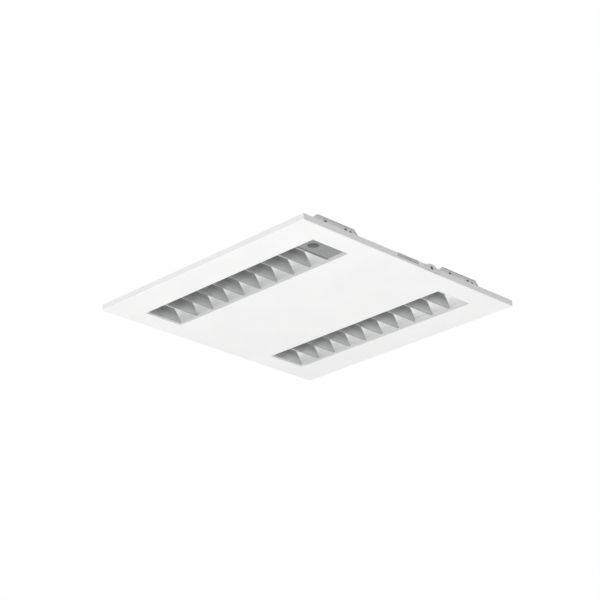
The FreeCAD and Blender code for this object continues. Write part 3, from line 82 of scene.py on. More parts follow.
def grain(made, pitch, depth, stretch=(1, 1, 1)):
    """Adds a relief of this pitch and depth, in mm, to a finish."""
    tree = made.node_tree
    place = tree.nodes.new("ShaderNodeTexCoord")
    spread = tree.nodes.new("ShaderNodeMapping")
    spread.inputs["Scale"].default_value = stretch
    tree.links.new(place.outputs["Object"], spread.inputs["Vector"])
    relief = tree.nodes.new("ShaderNodeTexNoise")
    relief.inputs["Scale"].default_value = 1 / (pitch * MM)
    relief.inputs["Detail"].default_value = 3.0
    tree.links.new(spread.outputs["Vector"], relief.inputs["Vector"])
    bump = tree.nodes.new("ShaderNodeBump")
    bump.inputs["Strength"].default_value = 1.0
    bump.inputs["Distance"].default_value = depth * MM
    tree.links.new(relief.outputs["Fac"], bump.inputs["Height"])
    tree.links.new(bump.outputs["Normal"], tree.nodes["Principled BSDF"].inputs["Normal"])
    return made


def dress(made, *names):
    """Gives these CAD nodes a finish."""
    for name in names:
        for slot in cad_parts[name].material_slots:
            slot.material = made


def point(x, y, z):
    """A place given in mm, in metres."""
    return Vector((x, y, z)) * MM


def slab(shape, low, high, edge, segments=2):
    """Adds a block between two corners, in mm, with its edges rounded."""
    low, high = point(*low), point(*high)
    corners = bmesh.ops.create_cube(shape, size=1.0)["verts"]
    bmesh.ops.scale(shape, vec=high - low, verts=corners)
    bmesh.ops.translate(shape, vec=(low + high) / 2, verts=corners)
    edges = list({side for corner in corners for side in corner.link_edges})
    bmesh.ops.bevel(shape, geom=edges, offset=edge * MM, offset_type="OFFSET", affect="EDGES",
                    segments=segments, profile=0.5, material=-1, clamp_overlap=True)


def settle(shape, name, made, body):
    """Makes a finished shape a piece of the fitting that moves with a body."""
    bmesh.ops.recalc_face_normals(shape, faces=shape.faces)
    mesh = bpy.data.meshes.new(name)
    shape.to_mesh(mesh)
    shape.free()
    mesh.materials.append(made)
    piece = bpy.data.objects.new(name, mesh)
    bpy.context.scene.collection.objects.link(piece)
    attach(piece, body)
    return piece


tray_white = grain(finish("tray_powder_coat", (0.860, 0.863, 0.860), (0.886, 0.888, 0.884),
                          90, (0.36, 0.45)), 0.9, 0.006)
dress(tray_white, "face_tray")


def ease(width, *names):
    """Rounds the sharp edges of these CAD nodes over this width, in mm."""
    for name in names:
        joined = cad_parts[name].modifiers.new("join", "WELD")
        joined.merge_threshold = 1e-5
        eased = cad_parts[name].modifiers.new("ease", "BEVEL")
        eased.width = width * MM
        eased.segments = 2
        eased.limit_method = "ANGLE"
        eased.angle_limit = math.radians(40)


ease(0.35, "face_tray")

tray_half, tab_length, tab_gauge, tab_gap = 297.5, 14, 0.8, 0.1
tab_foot, tab_top, tab_round = 1.2, 8.6, 0.3
tabs = bmesh.new()
for side in (-1, 1):
    for end in (-1, 1):
        inner = tray_half - tab_gauge * 2 - tab_gap
        across = sorted((side * inner, side * (inner - tab_length)))
        along = sorted((end * inner, end * (inner + tab_gauge)))
        slab(tabs, (across[0], along[0], tab_foot), (across[1], along[1], tab_top), tab_round)
settle(tabs, "corner_tabs", tray_white, "fixture")

# ------------------------------------------------------------------ spot welds
# Round marks that the welding electrodes leave where the housings' flanges and the feet of the
# gear plate are joined to the tray, 40 mm apart, seen from the back. Each is a shallow dish
# with a raised rim, under the paint.

row_offset, housing_half, housing_flange = 176.5, 60, 12
flange_top, plate_foot_middle, plate_foot_top = 1.6, 102, 1.8
weld_pitch, weld_radius, weld_dish, weld_rim, weld_steps = 40, 1.9, 0.02, 0.22, 12


def turned(shape, profile, centre, axis=(0, 0, 1), steps=24):
    """Adds a shape spun from a profile of (radius, height) points, in mm, about an axis."""
    path = [shape.verts.new(point(radius, 0, height)) for radius, height in profile]
    lines = [shape.edges.new(pair) for pair in zip(path, path[1:])]
    spun = bmesh.ops.spin(shape, geom=path + lines, cent=(0, 0, 0), axis=(0, 0, 1),
                          angle=math.tau, steps=steps, use_merge=True)
    corners = list(set(path + [item for item in spun["geom_last"]
                               if isinstance(item, bmesh.types.BMVert)]))
    reached = set(corners)
    while corners:
        for side in corners.pop().link_edges:
            for end in side.verts:
                if end not in reached:
                    reached.add(end)
                    corners.append(end)
    bmesh.ops.remove_doubles(shape, verts=list(reached), dist=1e-6)
    reached = [corner for corner in reached if corner.is_valid]
    turn = Vector((0, 0, 1)).rotation_difference(Vector(axis)).to_matrix().to_4x4()
    bmesh.ops.transform(shape, matrix=Matrix.Translation(point(*centre)) @ turn, verts=reached)


weld_profile = [(0, weld_dish), (weld_radius * 0.6, weld_dish), (weld_radius * 0.8, weld_rim),
                (weld_radius, 0)]
welds = bmesh.new()
for side in (-1, 1):
    for edge in (-1, 1):
        line = side * row_offset + edge * (housing_half + housing_flange / 2)
        for step in range(-6, 7):
            turned(welds, weld_profile, (line, step * weld_pitch, flange_top), steps=weld_steps)
    for step in range(-6, 4):
        turned(welds, weld_profile, (side * plate_foot_middle, step * weld_pitch, plate_foot_top),
               steps=weld_steps)
settle(welds, "spot_welds", tray_white, "fixture")

# ------------------------------------------------------------------ housings and end caps
# A raised trough of 0.8 mm steel over each row, folded from sheet that is already painted in
# thin white back coat, with a flat crown, sloping shoulders and pressed ribs that stiffen its
# sides. A cap closes each end and is held by two screws.

back_coat = grain(finish("housing_back_coat", (0.800, 0.803, 0.800), (0.845, 0.847, 0.842),
                         60, (0.42, 0.55)), 1.4, 0.008, (1, 0.25, 1))
dress(back_coat, "housing_left", "housing_right", "end_cap_left_front", "end_cap_left_back",
      "end_cap_right_front", "end_cap_right_back", "gear_plate")

rib_pitch, rib_width, rib_depth, rib_sink = 50, 5, 0.8, 0.2
rib_foot, rib_top, rib_round = 7, 33, 0.5
grommet_along, grommet_clear = 140, 12.5
side_ribs = bmesh.new()
for side in (-1, 1):
    for edge in (-1, 1):
        wall = side * row_offset + edge * housing_half
        out = sorted((wall - edge * rib_sink, wall + edge * rib_depth))
        for step in range(-4, 5):
            along = step * rib_pitch
            if abs(along - grommet_along) > grommet_clear or edge == side:
                slab(side_ribs, (out[0], along - rib_width / 2, rib_foot),
                     (out[1], along + rib_width / 2, rib_top), rib_round)
settle(side_ribs, "housing_side_ribs", back_coat, "fixture")

# ------------------------------------------------------------------ end cap screws
# Two pan-head screws with a cross recess hold each end cap. They are steel, headed and
# rolled, with a phosphate finish that has worn from dark to mid grey on the crowns.

screw_grey = grain(finish("screw_phosphate", (0.13, 0.132, 0.135), (0.22, 0.222, 0.225), 1.5,
                           (0.34, 0.50), metallic=0.6), 0.25, 0.004)
head_height, head_steps, head_turn = 2, 20, 0.7
head_profile = [(0, 0), (2.9, 0), (3, 0.15), (3, 0.9), (2.79, 1.44), (2.25, 1.84),
                (1.2, head_height), (0, head_height)]
cross_length, cross_width, cross_depth, cross_taper = 3.45, 0.75, 1.1, 0.45


def recessed_head():
    """A pan head with a cross recess, its foot at the origin and its crown up Z."""
    head = bmesh.new()
    turned(head, head_profile, (0, 0, 0), steps=head_steps)
    bmesh.ops.recalc_face_normals(head, faces=head.faces)
    cross = bmesh.new()
    for length, width in ((cross_length, cross_width), (cross_width, cross_length)):
        arm = bmesh.ops.create_cube(cross, size=1.0)["verts"]
        bmesh.ops.scale(cross, vec=point(length, width, cross_depth * 2), verts=arm)
        bmesh.ops.translate(cross, vec=point(0, 0, head_height), verts=arm)
        foot = [corner for corner in arm if corner.co.z < head_height * MM]
        bmesh.ops.scale(cross, vec=(cross_taper, cross_taper, 1), verts=foot)
    bodies = []
    for label, source in (("head", head), ("cross", cross)):
        mesh = bpy.data.meshes.new(label)
        source.to_mesh(mesh)
        source.free()
        bodies.append(bpy.data.objects.new(label, mesh))
        bpy.context.scene.collection.objects.link(bodies[-1])
    cut = bodies[0].modifiers.new("cut", "BOOLEAN")
    cut.operation, cut.solver, cut.object = "DIFFERENCE", "EXACT", bodies[1]
    cut.use_self = True
    bpy.context.view_layer.update()
    depsgraph = bpy.context.evaluated_depsgraph_get()
    result = bpy.data.meshes.new_from_object(bodies[0].evaluated_get(depsgraph))
    for body in bodies:
        bpy.data.objects.remove(body)
    return result


cross_head = recessed_head()


def drive_screws(shape, places, axis):
    """Adds a cross head at each place, in mm, with its crown towards an axis."""
    turn = Vector((0, 0, 1)).rotation_difference(Vector(axis)).to_matrix().to_4x4()
    for count, place in enumerate(places):
        before = len(shape.verts)
        shape.from_mesh(cross_head)
        shape.verts.ensure_lookup_table()
        spin = Matrix.Rotation(count * head_turn, 4, "Z")
        bmesh.ops.transform(shape, matrix=Matrix.Translation(point(*place)) @ turn @ spin,
                            verts=shape.verts[before:])


cap_face, cap_screw_spread, cap_screw_height = 259.5, 27, 39.5
cap_screws = bmesh.new()
for end in (-1, 1):
    places = [(side * row_offset + edge * cap_screw_spread, end * cap_face, cap_screw_height)
              for side in (-1, 1) for edge in (-1, 1)]
    drive_screws(cap_screws, places, (0, end, 0))
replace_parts(settle(cap_screws, "end_cap_screw_heads", screw_grey, "fixture"),
            "end_cap_screws")

# ------------------------------------------------------------------ louvre
# Side and end reflectors and nine cross blades a row, bent from satin anodised aluminium strip.
# The strip keeps the fine lines of the rolls along its length, so its gloss is drawn out
# across them. The blades' colour is painted greyer towards the top: painted shade for the
# light lost deep in a cell, on a strip that has one tone.

# Heights and share of the painted shade on the blades.
shade_start_height, shade_full_height, shade_colour_share = 2, 22, 0.44


def paint_upward_shade(made, foot, top, share):
    """Paints shade into a finish: its colour darkens from one height to a higher one, in mm, down
    to a share of it.
    """
    tree = made.node_tree
    place = tree.nodes.new("ShaderNodeTexCoord")
    parts = tree.nodes.new("ShaderNodeSeparateXYZ")
    tree.links.new(place.outputs["Object"], parts.inputs["Vector"])
    depth = tree.nodes.new("ShaderNodeMapRange")
    depth.inputs["From Min"].default_value = foot * MM
    depth.inputs["From Max"].default_value = top * MM
    depth.inputs["To Min"].default_value = 1.0
    depth.inputs["To Max"].default_value = share
    tree.links.new(parts.outputs["Z"], depth.inputs["Value"])
    shade = tree.nodes.new("ShaderNodeVectorMath")
    shade.operation = "SCALE"
    tree.links.new(tree.nodes["Tint"].outputs["Color"], shade.inputs["Vector"])
    tree.links.new(depth.outputs["Result"], shade.inputs["Scale"])
    tree.links.new(shade.outputs["Vector"],
                   tree.nodes["Principled BSDF"].inputs["Base Color"])


reflector_satin = grain(finish("reflector_aluminium", (0.88, 0.885, 0.89), (0.94, 0.943, 0.945),
                               2.2, (0.50, 0.58), metallic=1.0, stretch=(1, 0.02, 1)),
                        0.5, 0.0015, (1, 0.01, 1))
# Painted shade: the blades and end reflectors take a darker copy of the reflectors' aluminium,
# though all are bent from one strip.
shaded_blade_satin = grain(finish("blade_aluminium_painted_shade", (0.55, 0.555, 0.56), (0.63, 0.635, 0.64),
                           2.2, (0.40, 0.48), metallic=1.0, stretch=(0.02, 1, 1)),
                    0.5, 0.0015, (0.01, 1, 1))
# Painted shade: the blades' colour greys upwards, for light lost deep in a cell.
paint_upward_shade(shaded_blade_satin, shade_start_height, shade_full_height, shade_colour_share)
dress(reflector_satin, "side_reflector_left_outer", "side_reflector_left_inner",
      "side_reflector_right_outer", "side_reflector_right_inner")
dress(shaded_blade_satin, "cross_blades_left", "cross_blades_right", "end_reflectors_left",
      "end_reflectors_right")

# ------------------------------------------------------------------ frosted strips
# A 2 mm acrylic strip over each row, frosted so that the LEDs behind it don't show as points.
# It lies on a bracket at each end.

frosted = grain(finish("frosted_acrylic", (0.84, 0.85, 0.85), (0.89, 0.90, 0.90), 40,
                       (0.50, 0.62)), 0.35, 0.012)
frost_through, acrylic_index = 0.35, 1.49
acrylic = frosted.node_tree.nodes["Principled BSDF"]
acrylic.inputs["Transmission Weight"].default_value = frost_through
acrylic.inputs["IOR"].default_value = acrylic_index
dress(frosted, "lens_strip_left", "lens_strip_right")

# ------------------------------------------------------------------ brackets and clips
# Small bent pieces of zinc plated steel: the brackets of the frosted strips, the clips on the
# reflectors, the brackets and folding clips for the ceiling grid, and the hanging brackets.

zinc = grain(finish("zinc_plate", (0.56, 0.57, 0.59), (0.68, 0.685, 0.68), 5,
                    (0.30, 0.46), metallic=1.0), 0.6, 0.004, (1, 0.2, 1))
dress(zinc, "lens_brackets", "reflector_clips", "clip_brackets", "clip_pins",
      "suspension_brackets", "grid_clip_front_left", "grid_clip_front_right",
      "grid_clip_back_left", "grid_clip_back_right", "lid_hinge_pin")
ease(0.25, "clip_brackets", "suspension_brackets", "grid_clip_front_left",
     "grid_clip_front_right", "grid_clip_back_left", "grid_clip_back_right")

clip_station, clip_top = 200, 5.8
press_inner, press_outer, press_half, press_depth, press_sink = 266, 285, 3, 0.6, 0.2
press_round, press_steps = 0.35, 3
for end, way in (("front", -1), ("back", 1)):
    for side, hand in (("left", -1), ("right", 1)):
        press = bmesh.new()
        across = sorted((hand * press_inner, hand * press_outer))
        slab(press, (across[0], way * clip_station - press_half, clip_top - press_sink),
             (across[1], way * clip_station + press_half, clip_top + press_depth),
             press_round, press_steps)
        settle(press, f"clip_press_{end}_{side}", zinc, f"{end}_{side}_clip")

hanger_across, hanger_along, hanger_top = 275, 250, 14
eyelet_profile = [(2.75, -0.1), (2.85, 0.3), (3.35, 0.5), (3.95, 0.3), (4.15, -0.1),
                  (2.75, -0.1)]
eyelets = bmesh.new()
for side in (-1, 1):
    for end in (-1, 1):
        turned(eyelets, eyelet_profile, (side * hanger_across, end * hanger_along, hanger_top))
settle(eyelets, "hanging_eyelets", zinc, "fixture")

# ------------------------------------------------------------------ LED boards
# Aluminium boards with a white solder mask, screwed under the crown of each housing. Every
# 20 mm sits a white package with a dome of clear resin over yellow phosphor.

board_white = grain(finish("board_solder_mask", (0.86, 0.865, 0.86), (0.90, 0.905, 0.90), 8,
                           (0.30, 0.40)), 1.2, 0.02)
phosphor = finish("led_phosphor", (0.86, 0.74, 0.26), (0.94, 0.84, 0.40), 0.8, (0.16, 0.24))
dress(board_white, "led_board_left", "led_board_right")

board_face, led_pitch, led_count = 45.2, 20, 24
package_side, package_height, package_round = 3, 0.5, 0.15
dome_profile = [(0, 0), (1.2, 0), (1.1, 0.18), (0.7, 0.28), (0, 0.32)]
dome_steps = 10
packages = bmesh.new()
domes = bmesh.new()
for side in (-1, 1):
    for step in range(led_count):
        across = side * row_offset
        along = (step - (led_count - 1) / 2) * led_pitch
        half = package_side / 2
        slab(packages, (across - half, along - half, board_face - package_height),
             (across + half, along + half, board_face), package_round, 1)
        turned(domes, dome_profile, (across, along, board_face - package_height), (0, 0, -1),
               steps=dome_steps)
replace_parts(settle(packages, "led_packages", board_white, "fixture"), "led_chips")
settle(domes, "led_domes", phosphor, "fixture")

screw_zinc = grain(finish("screw_zinc", (0.50, 0.51, 0.53), (0.68, 0.69, 0.70), 1.5,
                          (0.24, 0.40), metallic=1.0), 0.25, 0.004)
board_screw_across, board_screw_stations, board_screw_shank = 7, (-210, -70, 70, 210), 45.6
board_screw_profile = [(0, 0), (1.75, 0), (1.75, 1.7), (1.45, 2.0), (0, 2.0)]
board_screw_places = [(side * row_offset + board_screw_across, along)
                      for side in (-1, 1) for along in board_screw_stations]
board_screw_heads = bmesh.new()
drive_screws(board_screw_heads, [(*place, board_face) for place in board_screw_places],
             (0, 0, -1))
for place in board_screw_places:
    turned(board_screw_heads, board_screw_profile, (*place, board_screw_shank))
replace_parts(settle(board_screw_heads, "board_screw_heads", screw_zinc, "fixture"),
            "board_screws")

# ------------------------------------------------------------------ driver
# The driver stands on the gear plate: a folded zinc plated case round a green circuit board,
# under a cover of the same steel that is held by four screws. The cover has rows of slots for
# air, punched before it was bent.

circuit_green = grain(finish("circuit_board", (0.03, 0.16, 0.07), (0.06, 0.24, 0.11), 3,
                             (0.30, 0.45)), 1.0, 0.03)
dress(circuit_green, "driver_circuit")
dress(zinc, "driver_case")

cover_half, cover_foot, cover_top, cover_gauge = 26, 6.6, 29.8, 0.8
cover_front, cover_back, cover_bend, bend_steps = -140, 90, 1.5, 4
slot_low, slot_high, slot_width, slot_pitch, slot_count, slot_margin = 12, 24, 2.2, 6, 12, 14

outline = [(cover_half, cover_foot), (cover_half, slot_low), (cover_half, slot_high)]
for step in range(bend_steps + 1):
    angle = math.radians(90 * step / bend_steps)
    outline.append((cover_half - cover_bend + cover_bend * math.cos(angle),
                    cover_top - cover_bend + cover_bend * math.sin(angle)))
outline = outline + [(-across, height) for across, height in reversed(outline)]
slots = [cover_front + slot_margin + step * slot_pitch for step in range(slot_count)]
slots = slots + [cover_back - slot_margin - slot_width - step * slot_pitch
                 for step in reversed(range(slot_count))]
stations = [cover_front]
for start in slots:
    stations = stations + [start, start + slot_width]
stations.append(cover_back)

cover = bmesh.new()
corners = [cover.verts.new(point(across, cover_front, height)) for across, height in outline]
edges = [cover.edges.new(pair) for pair in zip(corners, corners[1:])]
for before, after in zip(stations, stations[1:]):
    grown = bmesh.ops.extrude_edge_only(cover, edges=edges)["geom"]
    edges = [item for item in grown if isinstance(item, bmesh.types.BMEdge)]
    ends = [item for item in grown if isinstance(item, bmesh.types.BMVert)]
    bmesh.ops.translate(cover, vec=point(0, after - before, 0), verts=ends)
wall_reach = cover_half - 0.5
punched = []
for face in cover.faces:
    middle = face.calc_center_median() / MM
    in_slot = any(start < middle.y < start + slot_width for start in slots)
    if in_slot and slot_low < middle.z < slot_high and abs(middle.x) > wall_reach:
        punched.append(face)
bmesh.ops.delete(cover, geom=punched, context="FACES")
bmesh.ops.recalc_face_normals(cover, faces=cover.faces)
if sum(face.normal.z * face.calc_area() for face in cover.faces) < 0:
    bmesh.ops.reverse_faces(cover, faces=cover.faces)
bmesh.ops.solidify(cover, geom=list(cover.faces), thickness=cover_gauge * MM)
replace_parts(settle(cover, "driver_vented_cover", zinc, "fixture"), "driver_cover")

cover_screw_seat, cover_screw_across, cover_screw_inset = 28.2, 19, 7
cover_screws = bmesh.new()
drive_screws(cover_screws, [(edge * cover_screw_across, along, cover_screw_seat)
                            for edge in (-1, 1)
                            for along in (cover_front + cover_screw_inset,
                                          cover_back - cover_screw_inset)], (0, 0, 1))
settle(cover_screws, "driver_cover_screws", screw_zinc, "fixture")

# ------------------------------------------------------------------ terminals and plugs
# White moulded terminals at the driver's ends, with orange buttons that release the leads,
# and white plugs and lead clips of the same plastic. The levers of the terminal block are
# moulded from the buttons' orange plastic. A collar stands round each lead's mouth.

white_mould = grain(finish("white_moulding", (0.80, 0.80, 0.78), (0.84, 0.84, 0.82), 5,
                           (0.40, 0.52)), 0.5, 0.01)
orange_mould = grain(finish("orange_moulding", (0.80, 0.30, 0.05), (0.86, 0.36, 0.08), 3,
                            (0.30, 0.42)), 0.5, 0.006)
dress(white_mould, "driver_input_terminal", "driver_output_terminal", "board_connectors",
      "lead_clips")
ease(0.4, "driver_input_terminal", "driver_output_terminal", "board_connectors", "lead_clips")
dress(orange_mould, "input_button_left", "input_button_right", "output_button_left",
      "output_button_right", "terminal_lever_live", "terminal_lever_earth",
      "terminal_lever_neutral")
ease(0.3, "input_button_left", "input_button_right", "output_button_left",
     "output_button_right")

mouth_height = 10.9
mouths = ((0, -152, 2.6, -1), (-5, 102, 1.7, 1), (5, 102, 1.7, 1))
collars = bmesh.new()
for across, along, bore, way in mouths:
    turned(collars, [(bore, 0), (bore + 0.9, 0), (bore + 0.8, 0.6), (bore + 0.5, 0.8),
                     (bore + 0.15, 0.5), (bore, 0)], (across, along, mouth_height), (0, way, 0))
settle(collars, "terminal_collars", white_mould, "fixture")

# ------------------------------------------------------------------ gear screws
# Zinc plated screws hold the wiring box and the driver to the gear plate, and the two halves
# of the cable clamp to each other. Their threads are rolled and end just below the plate.

gear_screw_foot, seat_overlap, shank_radius = 3.8, 0.2, 1.75
thread_pitch, thread_depth = 0.8, 0.22
gear_screw_seats = [(12, -258, 7.4), (12, -214, 7.4), (-20, -148, 6.6), (20, -148, 6.6),
                    (-20, 98, 6.6), (20, 98, 6.6), (33.5, -288.9, 13.6), (72.5, -288.9, 13.6)]


def threaded(shape, across, along, foot, top, radius, steps=16):
    """Adds an upright threaded rod between two heights, in mm, with a chamfered foot."""
    profile = [(0, 0), (radius - thread_depth * 2, 0)]
    height = thread_pitch / 2
    while height + thread_pitch < top - foot:
        profile += [(radius, height), (radius - thread_depth, height + thread_pitch / 2)]
        height += thread_pitch
    profile += [(radius - thread_depth, top - foot), (0, top - foot)]
    turned(shape, profile, (across, along, foot), steps=steps)


gear_screws = bmesh.new()
drive_screws(gear_screws, gear_screw_seats, (0, 0, 1))
for across, along, seat in gear_screw_seats:
    threaded(gear_screws, across, along, gear_screw_foot, seat + seat_overlap, shank_radius)
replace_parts(settle(gear_screws, "gear_screw_set", screw_zinc, "fixture"),
            "gear_screws")

# ------------------------------------------------------------------ cable clamp
# Two white moulded halves set into a notch in the front return. A grey rubber liner in the
# bore grips the supply cable, which isn't fitted.

dress(white_mould, "cable_clamp_base", "cable_clamp_saddle")
ease(0.5, "cable_clamp_saddle")
rubber = grain(finish("grommet_rubber", (0.42, 0.42, 0.425), (0.48, 0.48, 0.485), 2,
                      (0.60, 0.74)), 0.4, 0.015)
clamp_across, clamp_front, clamp_axis, liner_steps = 53, -297.3, 10.4, 28
liner_profile = [(4.45, 0), (4.45, 16.8), (3.1, 16.8), (2.8, 16.2), (3.2, 9.4), (2.8, 8.4),
                 (3.2, 7.4), (2.8, 0.6), (3.1, 0), (4.45, 0)]
liner = bmesh.new()
turned(liner, liner_profile, (clamp_across, clamp_front, clamp_axis), (0, 1, 0),
       steps=liner_steps)
settle(liner, "clamp_liner", rubber, "fixture")

# ------------------------------------------------------------------ wiring box
# A moulded grey box with a hinged lid, in which the supply cable is stripped and clamped in
# a block with three levers. The moulding has a fine eroded texture.

grey_mould = grain(finish("grey_moulding", (0.66, 0.665, 0.67), (0.73, 0.735, 0.74), 6,
                          (0.46, 0.60)), 0.5, 0.012)
dress(grey_mould, "wiring_box", "wiring_lid", "terminal_block")
ease(0.5, "wiring_box", "wiring_lid")
ease(0.3, "terminal_block")

box_left, box_right, box_front, lid_top = -19, 43, -272, 30
stay_half, stay_out, stay_in, stay_foot, stay_round = 1, 0.7, 0.2, 7, 0.3
side_stay_top, front_stay_top = 26, 22
box_ribs = bmesh.new()
for along in (-262, -246, -230, -214):
    slab(box_ribs, (box_left - stay_out, along - stay_half, stay_foot),
         (box_left + stay_in, along + stay_half, side_stay_top), stay_round)
for along in (-242, -230, -214):
    slab(box_ribs, (box_right - stay_in, along - stay_half, stay_foot),
         (box_right + stay_out, along + stay_half, side_stay_top), stay_round)
for across in (-12, 0, 12, 24, 36):
    slab(box_ribs, (across - stay_half, box_front - stay_out, stay_foot),
         (across + stay_half, box_front + stay_in, front_stay_top), stay_round)
settle(box_ribs, "wiring_box_ribs", grey_mould, "fixture")

panel_round, panel_steps = 0.4, 3
catch_round, nib_width, nib_round = 0.5, 6, 0.3
lid_panel = bmesh.new()
slab(lid_panel, (-13, -264, lid_top - 0.2), (37, -210, lid_top + 0.6), panel_round, panel_steps)
slab(lid_panel, (-10, -261, lid_top + 0.4), (34, -213, lid_top + 1.0), panel_round, panel_steps)
slab(lid_panel, (3, -274.9, 24.5), (21, -273.4, 28), catch_round, panel_steps)
for across in (-14, 32):
    slab(lid_panel, (across, -274.1, 23.4), (across + nib_width, -273.4, 25.8), nib_round)
settle(lid_panel, "wiring_lid_panel", grey_mould, "lid")

lever_tip, lever_top, lever_half, pole_pitch = -236, 20.7, 2.9, 10
grip_count, grip_inset, grip_pitch, grip_width = 3, 0.8, 1.1, 0.5
grip_sink, grip_rise, grip_round = 0.1, 0.35, 0.15
for place, pole in enumerate(("live", "earth", "neutral"), start=-1):
    grip = bmesh.new()
    for step in range(grip_count):
        along = lever_tip + grip_inset + step * grip_pitch
        slab(grip, (place * pole_pitch - lever_half, along, lever_top - grip_sink),
             (place * pole_pitch + lever_half, along + grip_width, lever_top + grip_rise),
             grip_round, 1)
    settle(grip, f"lever_grip_{pole}", orange_mould, f"{pole}_lever")

block_front, core_height = -239.5, 12
core_profile = [(0, 0), (1.4, 0), (2.3, 0.9), (2.6, 0.9), (2.9, 0.6), (2.9, -0.1), (0, -0.1)]
core_mouths = bmesh.new()
for place in (-1, 0, 1):
    turned(core_mouths, core_profile, (place * pole_pitch, block_front, core_height),
           (0, -1, 0))
settle(core_mouths, "core_mouths", grey_mould, "fixture")

# ------------------------------------------------------------------ leads and grommets
# Leads in a pale grey sheath. The thick one is a stiff straight link from the wiring box to
# the driver. The two thin ones are soft, held by clips on the gear plate, and pass through
# rubber grommets up to the plugs of the LED boards.

sheath = grain(finish("lead_sheath", (0.70, 0.70, 0.69), (0.76, 0.76, 0.75), 4, (0.42, 0.55)),
               0.8, 0.01)
dress(sheath, "mains_lead")

lead_radius, lead_length = 1.6, 228
lead_route = [(5, 99.5, 10.9), (5, 140, 10.9), (95, 140, 10.9), (95, 140, 32.5),
              (142.75, 140, 32.5), (169, 152, 42.7), (169, 184, 42.7)]
for side, hand in ((-1, "left"), (1, "right")):
    line = bpy.data.curves.new(f"lamp_lead_{hand}", "CURVE")
    line.dimensions = "3D"
    line.bevel_depth = lead_radius * MM
    line.bevel_resolution = 4
    line.resolution_u = 24
    line.use_fill_caps = True
    run = line.splines.new("NURBS")
    run.points.add(len(lead_route) - 1)
    for spot, (across, along, height) in zip(run.points, lead_route):
        spot.co = (*point(side * across, along, height), 1)
    run.order_u = 3
    run.use_endpoint_u = True
    line.materials.append(sheath)
    lead = bpy.data.objects.new(line.name, line)
    bpy.context.scene.collection.objects.link(lead)
    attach(lead, "fixture")
    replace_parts(lead, "lamp_leads")
    across, along, height = lead_route[0]
dress(rubber, "lamp_grommets", "cable_grommet")

# ------------------------------------------------------------------ earth stud
# A threaded brass stud welded to the gear plate, with a hexagon nut between two washers. The
# weld leaves a low collar round its foot.

brass = grain(finish("earth_brass", (0.62, 0.44, 0.18), (0.76, 0.58, 0.27), 2,
                     (0.26, 0.40), metallic=1.0), 0.3, 0.005)
stud_across, stud_along, stud_foot, stud_top, stud_radius = 62, -215, 5.8, 19.8, 2
nut_foot, nut_height, nut_radius, nut_round, washer_foot = 9.0, 3.2, 4, 0.25, 8.4
weld_collar = [(0, 0), (4, 0), (3.6, 0.6), (2.4, 1.0), (0, 1.0)]
washer = [(0, 0), (3.9, 0), (4.0, 0.1), (4.0, 0.45), (3.9, 0.55), (0, 0.55)]
stud = bmesh.new()
threaded(stud, stud_across, stud_along, stud_foot, stud_top, stud_radius)
turned(stud, weld_collar, (stud_across, stud_along, stud_foot))
for foot in (washer_foot, nut_foot + nut_height):
    turned(stud, washer, (stud_across, stud_along, foot))
hexagon = bmesh.ops.create_cone(stud, cap_ends=True, segments=6, radius1=nut_radius * MM,
                                radius2=nut_radius * MM, depth=nut_height * MM)["verts"]
bmesh.ops.translate(stud, vec=point(stud_across, stud_along, nut_foot + nut_height / 2),
                    verts=hexagon)
sides = list({side for corner in hexagon for side in corner.link_edges})
bmesh.ops.bevel(stud, geom=sides, offset=nut_round * MM, offset_type="OFFSET", affect="EDGES",
                segments=2, profile=0.5, material=-1, clamp_overlap=True)
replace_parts(settle(stud, "earth_stud_set", brass, "fixture"), "earth_stud")

# ------------------------------------------------------------------ sensor
# A grey plate fills the front cell of the left row. Near its outer end it carries a sensor
# under a smoked dome of small facets, held by a bezel that snaps into the plate.

sensor_grey = grain(finish("sensor_moulding", (0.25, 0.252, 0.256), (0.30, 0.303, 0.307), 6,
                           (0.45, 0.58)), 0.5, 0.01)
sensor_dome = grain(finish("sensor_dome", (0.085, 0.087, 0.092), (0.115, 0.117, 0.122), 3,
                           (0.30, 0.42)), 0.4, 0.006)
dress(sensor_grey, "sensor_plate")
ease(0.3, "sensor_plate")

sensor_across, sensor_along, sensor_foot = -196.5, -219.55, 6.0
window_radius, window_depth, window_stem, window_rings, window_facets = 11, 3, 1.6, 6, 18
ball_radius = (window_radius ** 2 + window_depth ** 2) / (2 * window_depth)
window_profile = [(0, window_depth)]
for ring in range(1, window_rings + 1):
    radius = window_radius * ring / window_rings
    window_profile.append((radius, math.sqrt(ball_radius ** 2 - radius ** 2)
                           - ball_radius + window_depth))
window_profile += [(window_radius, -window_stem), (0, -window_stem)]
window = bmesh.new()
turned(window, window_profile, (sensor_across, sensor_along, sensor_foot), (0, 0, -1),
       steps=window_facets)
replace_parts(settle(window, "sensor_window", sensor_dome, "fixture"),
            "sensor_lens")

bezel_profile = [(11.1, -0.2), (11.1, 0.5), (11.5, 0.9), (12.6, 0.7), (13.0, 0.2),
                 (13.0, -0.2), (11.1, -0.2)]
bezel_steps = 36
bezel = bmesh.new()
turned(bezel, bezel_profile, (sensor_across, sensor_along, sensor_foot), (0, 0, -1),
       steps=bezel_steps)
settle(bezel, "sensor_bezel", sensor_grey, "fixture")

# ------------------------------------------------------------------ room
# A plain pale floor well below the fitting, which hangs as it would in a ceiling. The
# backdrop is white to the camera and in reflections, and pale grey light for the rest.

floor_half, floor_height, room_strength = 30, -4.6, 0.56
floor_shape = bmesh.new()
bmesh.ops.create_grid(floor_shape, x_segments=1, y_segments=1, size=floor_half)
bmesh.ops.translate(floor_shape, vec=(0, 0, floor_height), verts=floor_shape.verts)
floor_mesh = bpy.data.meshes.new("floor")
floor_shape.to_mesh(floor_mesh)
floor_shape.free()
floor = bpy.data.objects.new("floor", floor_mesh)
bpy.context.scene.collection.objects.link(floor)
floor_mesh.materials.append(finish("floor_paint", (0.80, 0.80, 0.795), (0.83, 0.83, 0.825),
                                   900, (0.7, 0.8)))

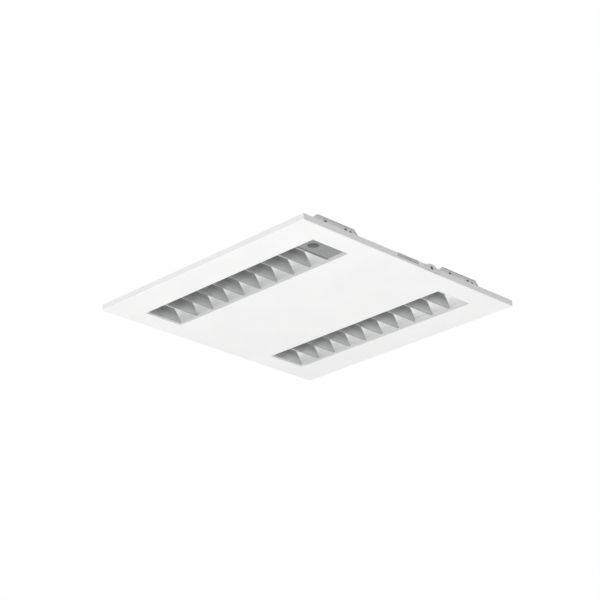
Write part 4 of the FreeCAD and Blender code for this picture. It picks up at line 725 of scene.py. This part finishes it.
room = bpy.data.worlds.new("room")
room.use_nodes = True
tree = room.node_tree
backdrop = tree.nodes["Background"]
backdrop.inputs["Color"].default_value = (1, 1, 1, 1)
rays = tree.nodes.new("ShaderNodeLightPath")
seen = tree.nodes.new("ShaderNodeMath")
seen.operation = "MAXIMUM"
tree.links.new(rays.outputs["Is Camera Ray"], seen.inputs[0])
tree.links.new(rays.outputs["Is Glossy Ray"], seen.inputs[1])
through = tree.nodes.new("ShaderNodeMath")
through.operation = "MAXIMUM"
tree.links.new(seen.outputs["Value"], through.inputs[0])
tree.links.new(rays.outputs["Is Transmission Ray"], through.inputs[1])
level = tree.nodes.new("ShaderNodeMapRange")
level.inputs["To Min"].default_value = room_strength
level.inputs["To Max"].default_value = 1.0
tree.links.new(through.outputs["Value"], level.inputs["Value"])
tree.links.new(level.outputs["Result"], backdrop.inputs["Strength"])
bpy.context.scene.world = room


def softbox(name, place, size, power):
    """A square lamp, in metres, that shines at the fitting and isn't seen itself."""
    lamp = bpy.data.lights.new(name, "AREA")
    lamp.shape = "SQUARE"
    lamp.size = size
    lamp.energy = power
    holder = bpy.data.objects.new(name, lamp)
    holder.location = place
    holder.rotation_mode = "QUATERNION"
    holder.rotation_quaternion = (-Vector(place)).to_track_quat("-Z", "Y")
    holder.visible_camera = False
    bpy.context.scene.collection.objects.link(holder)


# The key lamp lights the face, the side lamp the long return and the top lamp the back.
softbox("key_lamp", (-1.8, -0.75, -3.95), 2.6, 135)
softbox("side_lamp", (-3.4, 0.8, 0.3), 1.2, 13)
softbox("top_lamp", (-0.6, 0.5, 2.4), 2.0, 20)

# ------------------------------------------------------------------ camera
# The photograph's view: from below and in front of the left corner, with a long lens.

camera_data = bpy.data.cameras.new("camera")
camera_data.sensor_width, camera_data.lens = 36.0, 107.46
camera_data.clip_start, camera_data.clip_end = 0.1, 100
camera = bpy.data.objects.new("camera", camera_data)
camera_place = (-2.36096, -2.41934, -1.42897)
yaw, pitch, roll = (math.radians(angle) for angle in (45.942, 23.188, -0.255))
ahead = Vector((math.cos(pitch) * math.cos(yaw), math.cos(pitch) * math.sin(yaw),
                math.sin(pitch)))
level_right = ahead.cross(Vector((0, 0, 1))).normalized()
level_up = level_right.cross(ahead)
right = math.cos(roll) * level_right + math.sin(roll) * level_up
up = math.cos(roll) * level_up - math.sin(roll) * level_right
camera.matrix_world = (Matrix.Translation(camera_place)
                       @ Matrix((right, up, -ahead)).transposed().to_4x4())
bpy.context.scene.collection.objects.link(camera)
bpy.context.scene.camera = camera
bpy.context.scene.view_settings.view_transform = "Standard"
